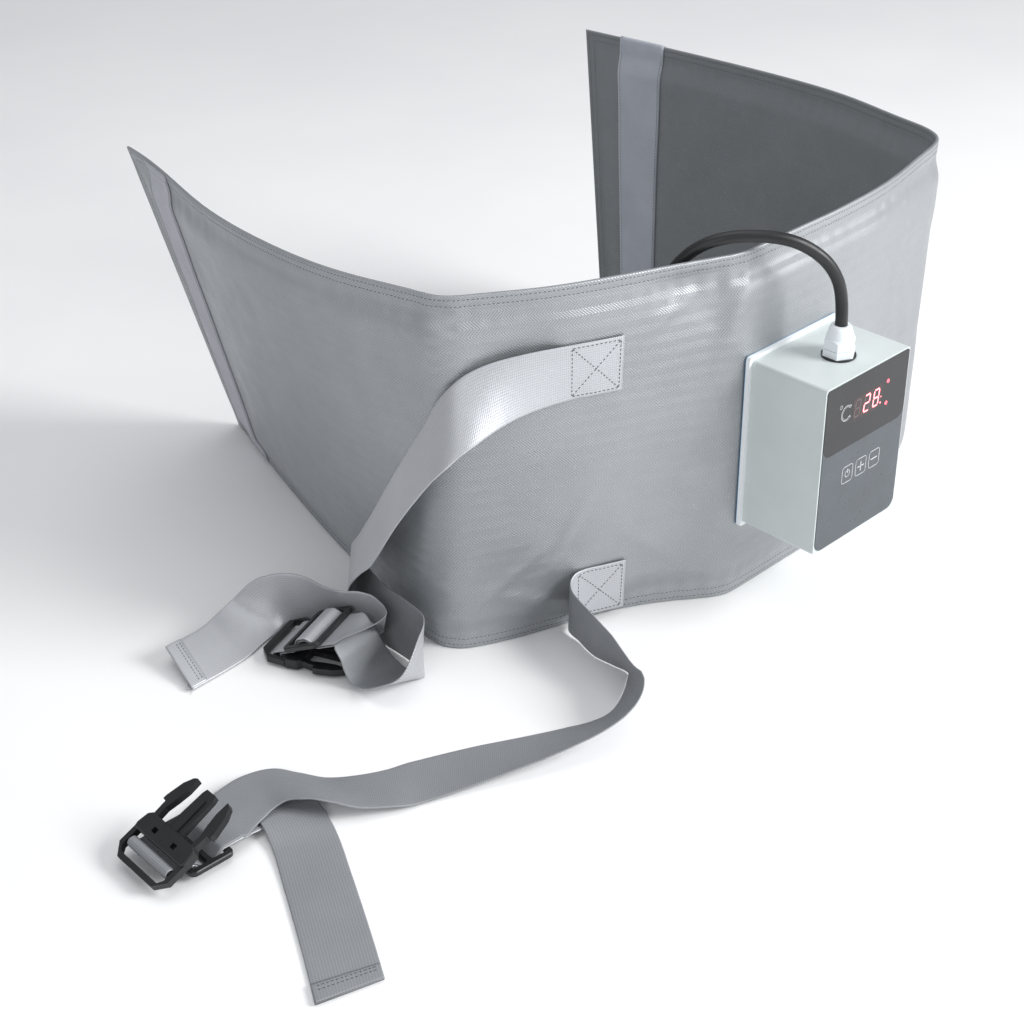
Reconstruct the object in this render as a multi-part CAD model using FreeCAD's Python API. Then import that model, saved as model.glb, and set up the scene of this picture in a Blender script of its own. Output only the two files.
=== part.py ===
import FreeCAD, Part
import math
import os

from FreeCAD import Matrix, Placement, Vector

# Container heating belt: a padded jacket with a heating wire inside, closed with two buckled straps,
# and a small temperature controller fixed to its front. Millimetres, Z up, floor at z = 0.
# The parts are drawn from the controller's lower front left corner on the floor, and moved at the end
# so that the origin is under the middle of the belt.

X, Y, Z = Vector(1, 0, 0), Vector(0, 1, 0), Vector(0, 0, 1)

# Jacket
JACKET_HEIGHT = 317.0
CLOTH = 1.0
FELT = 5.0
WIRE_LAYER = 3.2
LAYER_GAP = 0.4
HEM = 12.0
HEM_RAMP = 24.0
FELT_INSET = 24.0
COLUMN = 45.0
COLUMN_TURN = 10.0
ROWS = 5

# Middle line of the jacket in plan, from the left end to the right end, at its lower and upper edge
LOWER_LINE = [
    (-109, 623), (-131, 555), (-162, 455), (-190, 352), (-213, 262), (-224, 213), (-219, 192),
    (-201, 178), (-139, 154), (-84, 134), (-38, 107), (-17, 91.5), (-4, 84.6), (10, 83.1), (33, 83),
    (56, 83), (80, 83), (102, 83.1), (118, 83.8), (190, 93),
    (250, 104), (275, 107), (287, 121), (303, 165), (325, 230), (336, 310), (339, 400), (336, 480),
    (330, 538),
]
UPPER_LINE = [
    (-202, 617), (-214, 553), (-238, 460), (-249, 362), (-242, 268), (-228, 213), (-221, 192),
    (-203, 177), (-150, 144), (-88, 117), (-40, 97.5), (-17, 88), (-4, 84.2), (10, 83.1), (33, 83),
    (56, 83), (80, 83), (102, 83.1), (118, 83.6), (196, 91),
    (268, 107), (304, 119), (315, 132), (325, 170), (338, 232), (343, 300), (339, 390), (331, 480),
    (322, 559),
]

# Closure tapes, sewn near the two ends
TAPE = 48.0
TAPE_THICKNESS = 1.4
TAPE_FROM_END = 38.0

# Heating wire, laid in straight runs between two turns at the ends
WIRE = 2.0
WIRE_PITCH = 33.0
WIRE_INSET = 42.0
SENSOR_SIZE = (20.0, 10.0, 1.8)

# Webbing and its buckles
WEBBING = 48.0
WEBBING_THICKNESS = 1.5
WEB_GAP = 0.3
WEB_BAR = 2.2
BUCKLE_WIDTH = 60.0
BUCKLE_THICKNESS = 9.0
BUCKLE_FRAME = 5.6
BUCKLE_BODY_START = 8.0
BUCKLE_BODY_END = 24.0
BUCKLE_END_BAR = (-15.0, -10.6)
PRONG_REACH = 62.0
PRONG_THICKNESS = 6.0
BUCKLE_TILT = 24.0
BUCKLE_EDGE = 0.8
SLIDER_BAR = 4.6
SLIDER_SLOT = 11.2
SLIDER_START = 13.2
SEWN_GAP = 0.9
LEG_LEAD = 6.0
LEG_START = 5.5
LEG_BEND = 3.4
SHORTEST_STEP = 0.3
FREE_STEP, MOST_STEPS = 4.0, 8
UPPER_SLANT, LOWER_SLANT = 1.1, 1.5

# Strap ends on the floor: web bar, plan direction of the legs
UPPER_BAR, UPPER_HEADING = (-311.0, 288.0, 5.2), -69.5
LOWER_BAR, LOWER_HEADING = (-550.0, 146.0, 13.8), -2.0
UPPER_ACROSS, LOWER_ACROSS = -1, -1

# Sewn ends: distances along the jacket of their two edges, and height of their middle
UPPER_PATCH = (579.0, 536.0, 244.5)
LOWER_PATCH = (592.0, 549.0, 31.5)

# Routes of the webbing as it lies: middle point, direction across it, and share of the width where gathered
UPPER_RUN = [
    ((-180, 148.5, 243.5), (-0.06, -0.12, -0.99)), ((-211, 157, 239), (-0.2, -0.42, -0.88)),
    ((-236, 166, 226), (-0.35, -0.6, -0.72)), ((-250, 181, 199), (-0.5, -0.7, -0.5)),
    ((-258, 211, 150), (-0.58, -0.75, -0.32)), ((-256, 247, 95), (-0.6, -0.77, -0.2)),
    ((-251.5, 268, 71), (-0.65, -0.76, -0.1)), ((-244.7, 287.4, 50), (-0.66, -0.72, -0.15)),
    ((-240, 294.5, 40), (-0.66, -0.6, -0.42)), ((-241, 292, 29.8), (-0.6, -0.45, -0.66)),
    ((-241.8, 281.8, 24.2), (-0.45, -0.2, -0.87)), ((-246.3, 264.4, 23.4), (-0.34, -0.1, -0.94)),
    ((-250.2, 245.2, 23.9), (-0.28, -0.07, -0.96)), ((-251.6, 217.4, 24.2), (-0.23, -0.07, -0.97)),
    ((-254, 197.5, 24.4), (-0.18, 0.03, -0.98)), ((-258, 188, 24.2), (-0.12, 0.05, -0.99)),
    ((-266, 178, 24), (0.15, 0.12, -0.98)), ((-284, 171, 15.5), (0.66, 0.33, -0.58), 0.96),
    ((-291, 183, 8.5), (0.93, 0.12, -0.3)), ((-291, 202, 3.8), (0.99, 0.02, -0.08)),
    ((-292, 211, 7), (0.99, 0.06, -0.03)), ((-292.5, 219, 15.5), (0.98, 0.15, 0)),
    ((-292.5, 226, 25), (0.96, 0.26, 0)),
]
UPPER_TAIL = [
    ((-290, 230, 37), (0.93, 0.35, -0.1), 0.8), ((-285.5, 222.5, 39), (0.8, 0.5, -0.33), 0.55),
    ((-276.5, 219, 38.5), (0.45, 0.6, -0.66), 0.45), ((-267.5, 221, 35), (0.15, 0.4, -0.9), 0.45),
    ((-262, 228, 31), (0, 0.15, -0.99), 0.5), ((-260.2, 237, 28), (0, 0.03, -1), 0.7),
    ((-260, 246, 25.5), (0.05, 0.02, -1), 0.9), ((-262, 254, 24.6), (0.15, 0, -0.99)),
    ((-266.5, 268, 24.4), (0.3, 0.1, -0.95)), ((-272, 284, 24), (0.3, 0.1, -0.95)),
    ((-279.5, 303, 24), (0.15, -0.05, -0.98)), ((-296, 320, 23.8), (0.12, -0.3, -0.95)),
    ((-319, 330, 12), (0.06, -0.9, -0.4)), ((-356, 323, 7.8), (-0.1, -0.95, -0.27)),
    ((-401.5, 319.8, 8.4), (-0.18, -0.94, -0.28)),
]
LOWER_RUN = [
    ((-136, 139.5, 27.5), (-0.02, -0.05, 1)), ((-141.5, 133.5, 25.4), (-0.1, -0.12, 1)),
    ((-145.5, 120, 24.4), (-0.18, -0.2, 0.97)), ((-152.2, 96.6, 24), (-0.2, -0.2, 0.95)),
    ((-154.5, 74.6, 22.6), (-0.35, -0.25, 0.9)), ((-157.4, 57.4, 19.8), (-0.5, -0.4, 0.77)),
    ((-163, 45, 17), (-0.5, -0.58, 0.65)), ((-173, 34, 16.5), (-0.45, -0.65, 0.62)),
    ((-189.2, 25.5, 16), (-0.4, -0.68, 0.6)), ((-206, 22.5, 15), (-0.45, -0.68, 0.55)),
    ((-225, 25.5, 12.8), (-0.55, -0.68, 0.47)), ((-246.7, 34, 10.2), (-0.62, -0.68, 0.36)),
    ((-268.5, 43.9, 7.7), (-0.64, -0.7, 0.26)), ((-311, 65, 3.8), (-0.66, -0.74, 0.1)),
    ((-354.7, 83.9, 2.1), (-0.62, -0.78, 0.02)), ((-376.6, 92, 4), (-0.57, -0.8, 0.1)),
    ((-399.8, 105, 6.5), (-0.5, -0.83, 0.18)), ((-413.8, 118, 9.2), (-0.47, -0.82, 0.3)),
    ((-425, 133, 11.2), (-0.42, -0.85, 0.28)), ((-437, 146, 11.8), (-0.34, -0.92, 0.16)),
    ((-452, 151.5, 10), (-0.22, -0.97, 0.04)), ((-468, 150.5, 9.4), (-0.06, -1, 0)),
    ((-480, 147.5, 10), (0.02, -1, 0)),
]
LOWER_TAIL = [
    ((-480, 146, 6.5), (0, -1, 0)), ((-462, 146.8, 1.6), (0.3, -0.95, 0)),
    ((-446, 147, 1.3), (0.59, -0.8, 0)), ((-439.5, 147.5, 3.4), (0.59, -0.8, 0)),
    ((-442, 141.4, 5.5), (0.64, -0.76, 0)), ((-445.6, 129.5, 5.2), (0.78, -0.62, -0.05)),
    ((-449.5, 112, 4.4), (0.88, -0.48, -0.1)), ((-458, 90, 1.8), (0.87, -0.49, -0.03)),
    ((-475, 57, 1.1), (0.87, -0.48, 0)), ((-491.5, 25.5, 1.1), (0.86, -0.5, 0)),
    ((-509.5, -8, 1.1), (0.88, -0.46, 0)), ((-526.5, -38.5, 1.1), (0.95, -0.3, 0)),
]

# Socket halves on the back wing
SOCKET_HEIGHTS = {"upper": 245.0, "lower": 75.0}
SOCKET_FROM_END = 120.0
TAB_LENGTH = 62.0
TAB_LIFT = 7.0
SOCKET_LENGTH = 44.0
SOCKET_WALL = 2.0
SOCKET_WINDOW = 18.0
PRONG_FIT = 0.6

# Controller case
BOX_WIDTH = 110.0
BOX_HEIGHT = 150.0
BOX_DEPTH = 73.0
BOX_BOTTOM = 75.0
BOX_CORNER = 3.0
WALL = 2.6
REAR_SHELL_DEPTH = 19.0
OVERLAY = 0.6
OVERLAY_EDGE = 1.5
OVERLAY_FOOT_RADIUS, OVERLAY_HEAD_RADIUS = 9.0, 2.5
PLATE = 3.6
PLATE_EDGE = 3.0
FILM = 0.4
SEAT_GAP = 0.25
BACKING = 1.5
BACKING_SIZE = (96.0, 136.0)
MOUNT_HOLES = (76.0, 116.0)
MOUNT_SCREW = 2.0
MOUNT_NUT = 7.0
LEAD_HOLE = 6.0

# Front of the case
DISPLAY = (39.0, 20.6)
DISPLAY_CENTRE = (55.4, 194.5)
DISPLAY_RIM = 1.0
LED_RADIUS = 1.5
LED_PLACES = ((81.8, 204.0), (81.8, 184.2))
KEY_RADIUS = 1.75
KEY_TRAVEL = 0.25
KEY_PLACES = {"power_key": (37.2, 136.7), "plus_key": (55.2, 136.7), "minus_key": (73.2, 136.7)}
BOARD = (92.0, 126.0, 1.6)
BOARD_FROM_FRONT = 12.0

# Cable gland and power cord
GLAND_X, GLAND_Y = 56.0, 31.0
GLAND_HEX = 24.0
GLAND_THREAD = 20.0
GLAND_COLLAR = 6.0
GLAND_DOME = 19.0
CORD = 10.0
CORD_ROUTE = [
    (56, 31, 252), (55.5, 31.3, 277), (47, 37, 301.5), (32, 48.5, 319), (13, 64, 329.5), (-15, 90, 331),
    (-31, 109, 321.5), (-42, 123.5, 302.5), (-48, 132, 277.5), (-50, 135.5, 247), (-51, 137, 205),
    (-51, 137.5, 160), (-50, 137.5, 118), (-48.5, 137, 82), (-47, 137, 53.5), (-38.5, 140.5, 31.4),
    (-22.5, 147, 14.5), (-2, 155, 5.4), (22.5, 163, 5.4), (46.5, 168.5, 5.4), (71, 171, 5.4),
]
COIL_RADIUS = 58.0
COIL_LAYERS = 2
COIL_TURNS_BESIDE = 2
FLOOR_GAP = 0.4
PLUG_RADIUS, PLUG_RELIEF, PLUG_BODY = 18.0, 34.0, 30.0
PLUG_START = 21.0
RELIEF_GROOVES = 5
PIN_RADIUS, PIN_LENGTH, PIN_SPACING = 2.4, 19.0, 19.0

HALF_BODY = (CLOTH * 2 + FELT + WIRE_LAYER + LAYER_GAP * 3) / 2
PANEL_Y = BOX_DEPTH + PLATE + FILM + SEAT_GAP


# Small helpers

def vec(point):
    return Vector(*[float(c) for c in point])


def block(x0, x1, y0, y1, z0, z1):
    return Part.makeBox(x1 - x0, y1 - y0, z1 - z0, Vector(x0, y0, z0))


def rod(radius, length, start, direction):
    return Part.makeCylinder(radius, length, start, direction)


def rounded_block(x0, x1, y0, y1, z0, z1, radius, direction):
    """Block whose four edges along one direction are rounded."""
    solid = block(x0, x1, y0, y1, z0, z1)
    edges = [e for e in solid.Edges if abs(e.tangentAt(e.FirstParameter).dot(direction)) > 0.9]
    return solid.makeFillet(radius, edges)


def outline(points, radius=0.0):
    """Closed flat outline in x and y; every corner has the given radius."""
    corners = [Vector(x, y, 0) for x, y in points]
    edges = []
    count = len(corners)
    cuts = []
    for i, corner in enumerate(corners):
        back = (corners[i - 1] - corner).normalize()
        ahead = (corners[(i + 1) % count] - corner).normalize()
        half = back.getAngle(ahead) / 2
        cut = radius / math.tan(half) if radius else 0.0
        inner = (back + ahead).normalize() * (radius / math.sin(half) - radius) if radius else Vector()
        cuts.append((corner + back * cut, corner + inner, corner + ahead * cut))
    for i, (start, middle, end) in enumerate(cuts):
        if radius:
            edges.append(Part.Arc(start, middle, end).toShape())
        following = cuts[(i + 1) % count][0]
        if (following - end).Length > 1e-6:
            edges.append(Part.LineSegment(end, following).toShape())
    return Part.Wire(edges)


def prism(points, low, high, radius=0.0):
    face = Part.Face(outline(points, radius))
    face.translate(Vector(0, 0, low))
    return face.extrude(Vector(0, 0, high - low))


def fused(solids):
    joined = solids[0].multiFuse(solids[1:]) if len(solids) > 1 else solids[0]
    return joined.removeSplitter()


def one_solid(shape):
    return shape.Solids[0] if len(shape.Solids) == 1 else shape


# Jacket surface

def station_distances():
    """Distance along the jacket of each station, the same for the lower and the upper line."""
    distances = [0.0]
    for i in range(1, len(LOWER_LINE)):
        steps = []
        for line in (LOWER_LINE, UPPER_LINE):
            steps.append(math.dist(line[i - 1], line[i]))
        distances.append(distances[-1] + sum(steps) / 2)
    return distances


STATIONS = station_distances()
JACKET_LENGTH = STATIONS[-1]


def plan_curve(line):
    """Smooth plan line, moved back so that the jacket's front just touches the mounting plate."""
    curve = Part.BSplineCurve()
    curve.interpolate(Points=[Vector(x, y, 0) for x, y in line], Parameters=STATIONS)
    front = min(curve.value(JACKET_LENGTH * k / 1000).y for k in range(300, 700))
    curve.translate(Vector(0, PANEL_Y + HALF_BODY - front, 0))
    return curve


LOWER_CURVE = plan_curve(LOWER_LINE)
UPPER_CURVE = plan_curve(UPPER_LINE)
CURVES = (LOWER_CURVE, UPPER_CURVE)


def outward(u, z):
    """Level direction that points out of the wrap, away from the container."""
    share = z / JACKET_HEIGHT
    along = LOWER_CURVE.tangent(u)[0] * (1 - share) + UPPER_CURVE.tangent(u)[0] * share
    along.normalize()
    return Vector(along.y, -along.x, 0)


def jacket_point(u, z, off=0.0):
    """Point of the jacket at a distance along it, a height, and an offset out of its middle."""
    share = z / JACKET_HEIGHT
    middle = LOWER_CURVE.value(u) * (1 - share) + UPPER_CURVE.value(u) * share
    return middle + outward(u, z) * off + Vector(0, 0, z)


def fullness(u, z):
    """0 in the sewn hem and 1 where the jacket has its full thickness."""
    edge = min(z, JACKET_HEIGHT - z, u, JACKET_LENGTH - u)
    share = min(max((edge - HEM) / HEM_RAMP, 0.0), 1.0)
    return share * share * (3 - 2 * share)


def outer_inside(u, z):
    """Offset of the outer cloth's inner face."""
    return LAYER_GAP / 2 + fullness(u, z) * (HALF_BODY - CLOTH - LAYER_GAP / 2)


def outer_face(u, z):
    return outer_inside(u, z) + CLOTH


def column_marks():
    """Distances along the jacket where its facets meet: close together where it bends."""
    fixed = [0.0, HEM, HEM + HEM_RAMP / 2, HEM + HEM_RAMP, TAPE_FROM_END, TAPE_FROM_END + TAPE]
    fixed = sorted(fixed + [JACKET_LENGTH - mark for mark in fixed])
    marks, last, step, turned = [0.0], 0.0, 3.0, 0.0
    for k in range(1, int(JACKET_LENGTH / step)):
        u = k * step
        turned += max(math.degrees(curve_way(c, u - step).getAngle(curve_way(c, u))) for c in CURVES)
        near = any(abs(u - mark) < 10 for mark in fixed)
        if (turned > COLUMN_TURN or u - last > COLUMN) and not near:
            marks.append(u)
            last, turned = u, 0.0
    return sorted(set(marks + fixed))


def curve_way(curve, u):
    return Vector(*curve.tangent(u)[0])


def row_marks():
    """Heights where the facets meet: the hem, its ramp and even rows between."""
    rim = [0.0, HEM, HEM + HEM_RAMP / 2, HEM + HEM_RAMP]
    middle = JACKET_HEIGHT - 2 * rim[-1]
    rows = [rim[-1] + middle * k / ROWS for k in range(1, ROWS)]
    return sorted(rim + rows + [JACKET_HEIGHT - mark for mark in rim])


def within(marks, low, high):
    return [low] + [mark for mark in marks if low + 0.5 < mark < high - 0.5] + [high]


def layer(u_range, z_range, inside, outside):
    """Closed sheet of the jacket between two offsets, each a function of place, made of flat facets."""
    us = within(COLUMNS, *u_range)
    zs = within(row_marks(), *z_range)
    inner = [[jacket_point(u, z, inside(u, z)) for z in zs] for u in us]
    outer = [[jacket_point(u, z, outside(u, z)) for z in zs] for u in us]
    faces = []
    for grid in (inner, outer):
        for i in range(len(us) - 1):
            for k in range(len(zs) - 1):
                faces += quad(grid[i][k], grid[i + 1][k], grid[i + 1][k + 1], grid[i][k + 1])
    for k in (0, -1):
        for i in range(len(us) - 1):
            faces += quad(inner[i][k], inner[i + 1][k], outer[i + 1][k], outer[i][k])
    for i in (0, -1):
        for k in range(len(zs) - 1):
            faces += quad(inner[i][k], inner[i][k + 1], outer[i][k + 1], outer[i][k])
    return closed(faces)


def quad(a, b, c, d):
    return [triangle(a, b, c), triangle(a, c, d)]


COLUMNS = column_marks()


def closed(faces):
    shell = Part.makeShell(faces)
    shell.sewShape()
    solid = Part.makeSolid(shell)
    if solid.Volume < 0:
        solid.reverse()
    return solid


def outer_cloth():
    cloth = layer((0, JACKET_LENGTH), (0, JACKET_HEIGHT), outer_inside, outer_face)
    return cloth.cut(Part.makeCompound(mount_holes(MOUNT_SCREW + 0.4) + [lead_hole(LEAD_HOLE + 0.3)]))


def inner_cloth():
    return layer(
        (0, JACKET_LENGTH), (0, JACKET_HEIGHT),
        lambda u, z: -outer_face(u, z), lambda u, z: -outer_inside(u, z),
    )


def insulation_felt():
    inset = FELT_INSET
    felt = layer(
        (inset, JACKET_LENGTH - inset), (inset, JACKET_HEIGHT - inset),
        lambda u, z: outer_inside(u, z) - LAYER_GAP - FELT * fullness(u, z),
        lambda u, z: outer_inside(u, z) - LAYER_GAP,
    )
    width, height = BACKING_SIZE
    x0 = BOX_WIDTH / 2 - width / 2 - 1
    z0 = BOX_BOTTOM + BOX_HEIGHT / 2 - height / 2 - 1
    depth = CLOTH + LAYER_GAP * 2 + FELT + 1
    window = block(x0, x0 + width + 2, PANEL_Y, PANEL_Y + depth, z0, z0 + height + 2)
    return felt.cut(window)


def wire_offset():
    """Offset of the middle of the heating wire, between the felt and the inner cloth."""
    return -HALF_BODY + CLOTH + LAYER_GAP + WIRE_LAYER / 2


def strip_on_jacket(path, width, thickness, off):
    """Square cord that follows a path of distances and heights on the jacket."""
    rails = {(a, b): [] for a in (-1, 1) for b in (-1, 1)}
    for i, (u, z) in enumerate(path):
        u0, z0 = path[max(i - 1, 0)]
        u1, z1 = path[min(i + 1, len(path) - 1)]
        length = math.hypot(u1 - u0, z1 - z0)
        side = (-(z1 - z0) / length, (u1 - u0) / length)
        for a, b in rails:
            at = (u + side[0] * width / 2 * a, z + side[1] * width / 2 * a)
            rails[(a, b)].append(jacket_point(at[0], at[1], off + thickness / 2 * b))
    return faceted_bar(rails)


def faceted_bar(rails):
    """Closed bar between four rails; its two broad faces are split the same way so that they stay apart."""
    order = [(-1, -1), (1, -1), (1, 1), (-1, 1)]
    lines = [rails[key] for key in order]
    faces = []
    for k in range(4):
        first, second = lines[k], lines[(k + 1) % 4]
        for i in range(len(first) - 1):
            corners = [first[i], first[i + 1], second[i + 1], second[i]]
            if k == 2:
                corners = corners[-1:] + corners[:-1]
            faces += quad(*corners)
    for i in (0, -1):
        faces += quad(*[line[i] for line in lines])
    return closed(faces)


def triangle(a, b, c):
    return Part.Face(Part.makePolygon([a, b, c, a]))


def heating_wire():
    """One wire laid to and fro along the jacket, with a round turn at the end of each run."""
    low, high = WIRE_INSET, JACKET_HEIGHT - WIRE_INSET
    runs = int((high - low) // WIRE_PITCH) + 1
    radius = WIRE_PITCH / 2
    start, end = WIRE_INSET + radius, JACKET_LENGTH - WIRE_INSET - radius
    stops = [start] + [s for s in COLUMNS if start + 8 < s < end - 8] + [end]
    path = []
    for run in range(runs):
        z = low + run * WIRE_PITCH
        ahead = run % 2 == 0
        path += [(s, z) for s in (stops if ahead else stops[::-1])]
        if run < runs - 1:
            sign = 1 if ahead else -1
            centre = end if ahead else start
            for k in range(1, 4):
                angle = math.radians(-90 + 45 * k)
                path.append((centre + sign * radius * math.cos(angle), z + radius + radius * math.sin(angle)))
    return strip_on_jacket(path, WIRE, WIRE, wire_offset())


def temperature_sensor():
    """Flat probe between two runs of the wire."""
    length, height, thickness = SENSOR_SIZE
    u = STATIONS[LOWER_LINE.index((56, 83))]
    z = WIRE_INSET + WIRE_PITCH * 3.5
    path = [(u - length / 2, z), (u + length / 2, z)]
    return strip_on_jacket(path, height, thickness, wire_offset())


def hook_tape():
    """Tape on the outer face of the left end."""
    return layer(
        (TAPE_FROM_END, TAPE_FROM_END + TAPE), (2.0, JACKET_HEIGHT - 2.0),
        lambda u, z: outer_face(u, z) + LAYER_GAP,
        lambda u, z: outer_face(u, z) + LAYER_GAP + TAPE_THICKNESS,
    )


def loop_tape():
    """Tape on the inner face of the right end."""
    end = JACKET_LENGTH - TAPE_FROM_END
    return layer(
        (end - TAPE, end), (2.0, JACKET_HEIGHT - 2.0),
        lambda u, z: -outer_face(u, z) - LAYER_GAP - TAPE_THICKNESS,
        lambda u, z: -outer_face(u, z) - LAYER_GAP,
    )


# Holes shared by the plate, the cloth and the rear shell

def mount_places():
    width, height = MOUNT_HOLES
    middle_x = BOX_WIDTH / 2
    middle_z = BOX_BOTTOM + BOX_HEIGHT / 2
    return [(middle_x + sx * width / 2, middle_z + sz * height / 2) for sx in (-1, 1) for sz in (-1, 1)]


def mount_holes(radius):
    return [rod(radius, 40, Vector(x, BOX_DEPTH - 15, z), Y) for x, z in mount_places()]


def lead_place():
    return BOX_WIDTH / 2, BOX_BOTTOM + BOX_HEIGHT / 2


def lead_hole(radius):
    x, z = lead_place()
    return rod(radius, 40, Vector(x, BOX_DEPTH - 15, z), Y)


# Controller case

def front_shell():
    seam = BOX_DEPTH - REAR_SHELL_DEPTH
    top = BOX_BOTTOM + BOX_HEIGHT
    body = rounded_block(0, BOX_WIDTH, 0, seam, BOX_BOTTOM, top, BOX_CORNER, Y)
    body = body.cut(block(WALL, BOX_WIDTH - WALL, WALL, seam + 1, BOX_BOTTOM + WALL, top - WALL))
    bosses = [rod(4.0, seam - WALL, Vector(x, WALL, z), Y) for x, z in case_screw_places()]
    posts = [rod(3.2, BOARD_FROM_FRONT - WALL - 0.1, Vector(x, WALL, z), Y) for x, z in board_screw_places()]
    body = fused([body] + bosses + posts)
    cuts = [rod(1.6, 16, Vector(x, seam - 16, z), Y) for x, z in case_screw_places()]
    cuts += [rod(1.3, 7, Vector(x, BOARD_FROM_FRONT - 7, z), Y) for x, z in board_screw_places()]
    width, height = DISPLAY
    x, z = DISPLAY_CENTRE
    cuts.append(block(x - width / 2, x + width / 2, -1, WALL + 1, z - height / 2, z + height / 2))
    cuts += [rod(LED_RADIUS + 0.2, WALL + 2, Vector(x, -1, z), Y) for x, z in LED_PLACES]
    cuts += [rod(KEY_RADIUS + 0.25, WALL + 2, Vector(x, -1, z), Y) for x, z in KEY_PLACES.values()]
    cuts.append(rod(GLAND_THREAD / 2 + 0.2, WALL + 2, Vector(GLAND_X, GLAND_Y, top - WALL - 1), Z))
    return body.cut(Part.makeCompound(cuts))


def case_screw_places():
    inset = WALL + 3.2
    xs = (inset, BOX_WIDTH - inset)
    zs = (BOX_BOTTOM + inset, BOX_BOTTOM + BOX_HEIGHT - inset)
    return [(x, z) for x in xs for z in zs]


def board_screw_places():
    middle_x, middle_z = lead_place()
    out_x, out_z = BOARD[0] / 2 - 5, BOARD[1] / 2 - 5
    return [(middle_x + sx * out_x, middle_z + sz * out_z) for sx in (-1, 1) for sz in (-1, 1)]


def rear_shell():
    seam = BOX_DEPTH - REAR_SHELL_DEPTH
    top = BOX_BOTTOM + BOX_HEIGHT
    body = rounded_block(0, BOX_WIDTH, seam, BOX_DEPTH, BOX_BOTTOM, top, BOX_CORNER, Y)
    body = body.cut(block(WALL, BOX_WIDTH - WALL, seam - 1, BOX_DEPTH - WALL, BOX_BOTTOM + WALL, top - WALL))
    bosses = [rod(4.0, REAR_SHELL_DEPTH - WALL, Vector(x, seam, z), Y) for x, z in case_screw_places()]
    body = fused([body] + bosses)
    cuts = [rod(2.1, REAR_SHELL_DEPTH + 2, Vector(x, seam - 1, z), Y) for x, z in case_screw_places()]
    cuts += [rod(3.8, 5, Vector(x, BOX_DEPTH - 4, z), Y) for x, z in case_screw_places()]
    cuts += mount_holes(MOUNT_SCREW + 0.15) + [lead_hole(LEAD_HOLE)]
    return body.cut(Part.makeCompound(cuts))


def screw(head_radius, head, radius, length):
    """Pan head screw along Y with its head's seat at the origin."""
    shank = rod(radius, length, Vector(), -Y)
    cap = rod(head_radius, head, Vector(), Y)
    return fused([shank, cap])


def placed(shape, place):
    copy = shape.copy()
    copy.translate(place)
    return copy


def case_screws():
    one = screw(3.4, 2.4, 1.5, REAR_SHELL_DEPTH - 4 + 12)
    seat = BOX_DEPTH - 4 + 0.05
    return Part.makeCompound([placed(one, Vector(x, seat, z)) for x, z in case_screw_places()])


def board_screws():
    one = screw(2.6, 1.8, 1.2, 5.5)
    seat = BOARD_FROM_FRONT + BOARD[2] + 0.05
    return Part.makeCompound([placed(one, Vector(x, seat, z)) for x, z in board_screw_places()])


def mount_screws():
    """Four screws from inside the rear shell, through the plate and the cloth."""
    end = PANEL_Y + CLOTH + LAYER_GAP + BACKING + 3.4
    seat = BOX_DEPTH - WALL - 0.05
    shank = rod(MOUNT_SCREW, end - seat, Vector(0, seat, 0), Y)
    cap = rod(3.8, 2.6, Vector(0, seat - 2.6, 0), Y)
    one = fused([shank, cap])
    return Part.makeCompound([placed(one, Vector(x, 0, z)) for x, z in mount_places()])


def mount_nuts():
    y = PANEL_Y + CLOTH + LAYER_GAP + BACKING + 0.1
    nut = hexagon(MOUNT_NUT, 0, 3.0)
    nut = nut.cut(rod(MOUNT_SCREW + 0.03, 4, Vector(0, 0, -0.5), Z))
    nut.rotate(Vector(), X, -90)
    return Part.makeCompound([placed(nut, Vector(x, y, z)) for x, z in mount_places()])


def plate_block(margin, y0, y1):
    x0, x1 = -margin, BOX_WIDTH + margin
    z0, z1 = BOX_BOTTOM - margin, BOX_BOTTOM + BOX_HEIGHT + margin
    return rounded_block(x0, x1, y0, y1, z0, z1, BOX_CORNER, Y)


def mounting_plate():
    body = plate_block(PLATE_EDGE, BOX_DEPTH, BOX_DEPTH + PLATE)
    cuts = mount_holes(MOUNT_SCREW + 0.15) + [lead_hole(LEAD_HOLE)]
    return body.cut(Part.makeCompound(cuts))


def plate_film():
    body = plate_block(PLATE_EDGE, BOX_DEPTH + PLATE, BOX_DEPTH + PLATE + FILM)
    cuts = mount_holes(MOUNT_SCREW + 0.3) + [lead_hole(LEAD_HOLE + 0.2)]
    return body.cut(Part.makeCompound(cuts))


def backing_plate():
    """Metal plate inside the jacket that the mounting screws clamp."""
    width, height = BACKING_SIZE
    middle_x, middle_z = lead_place()
    y0 = PANEL_Y + CLOTH + LAYER_GAP
    body = rounded_block(
        middle_x - width / 2, middle_x + width / 2, y0, y0 + BACKING,
        middle_z - height / 2, middle_z + height / 2, 4.0, Y,
    )
    cuts = mount_holes(MOUNT_SCREW + 0.15) + [lead_hole(LEAD_HOLE + 0.3)]
    return body.cut(Part.makeCompound(cuts))


def lead_grommet():
    """Rubber bush in the rear shell and the plate that the heater leads pass through."""
    x, z = lead_place()
    start = BOX_DEPTH - WALL - 1.5
    flange = rod(LEAD_HOLE + 2, 1.4, Vector(x, start, z), Y)
    sleeve = rod(LEAD_HOLE - 0.1, PANEL_Y - start, Vector(x, start, z), Y)
    bore = rod(LEAD_HOLE - 1.6, PANEL_Y - start + 2, Vector(x, start - 1, z), Y)
    return fused([flange, sleeve]).cut(bore)


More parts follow.
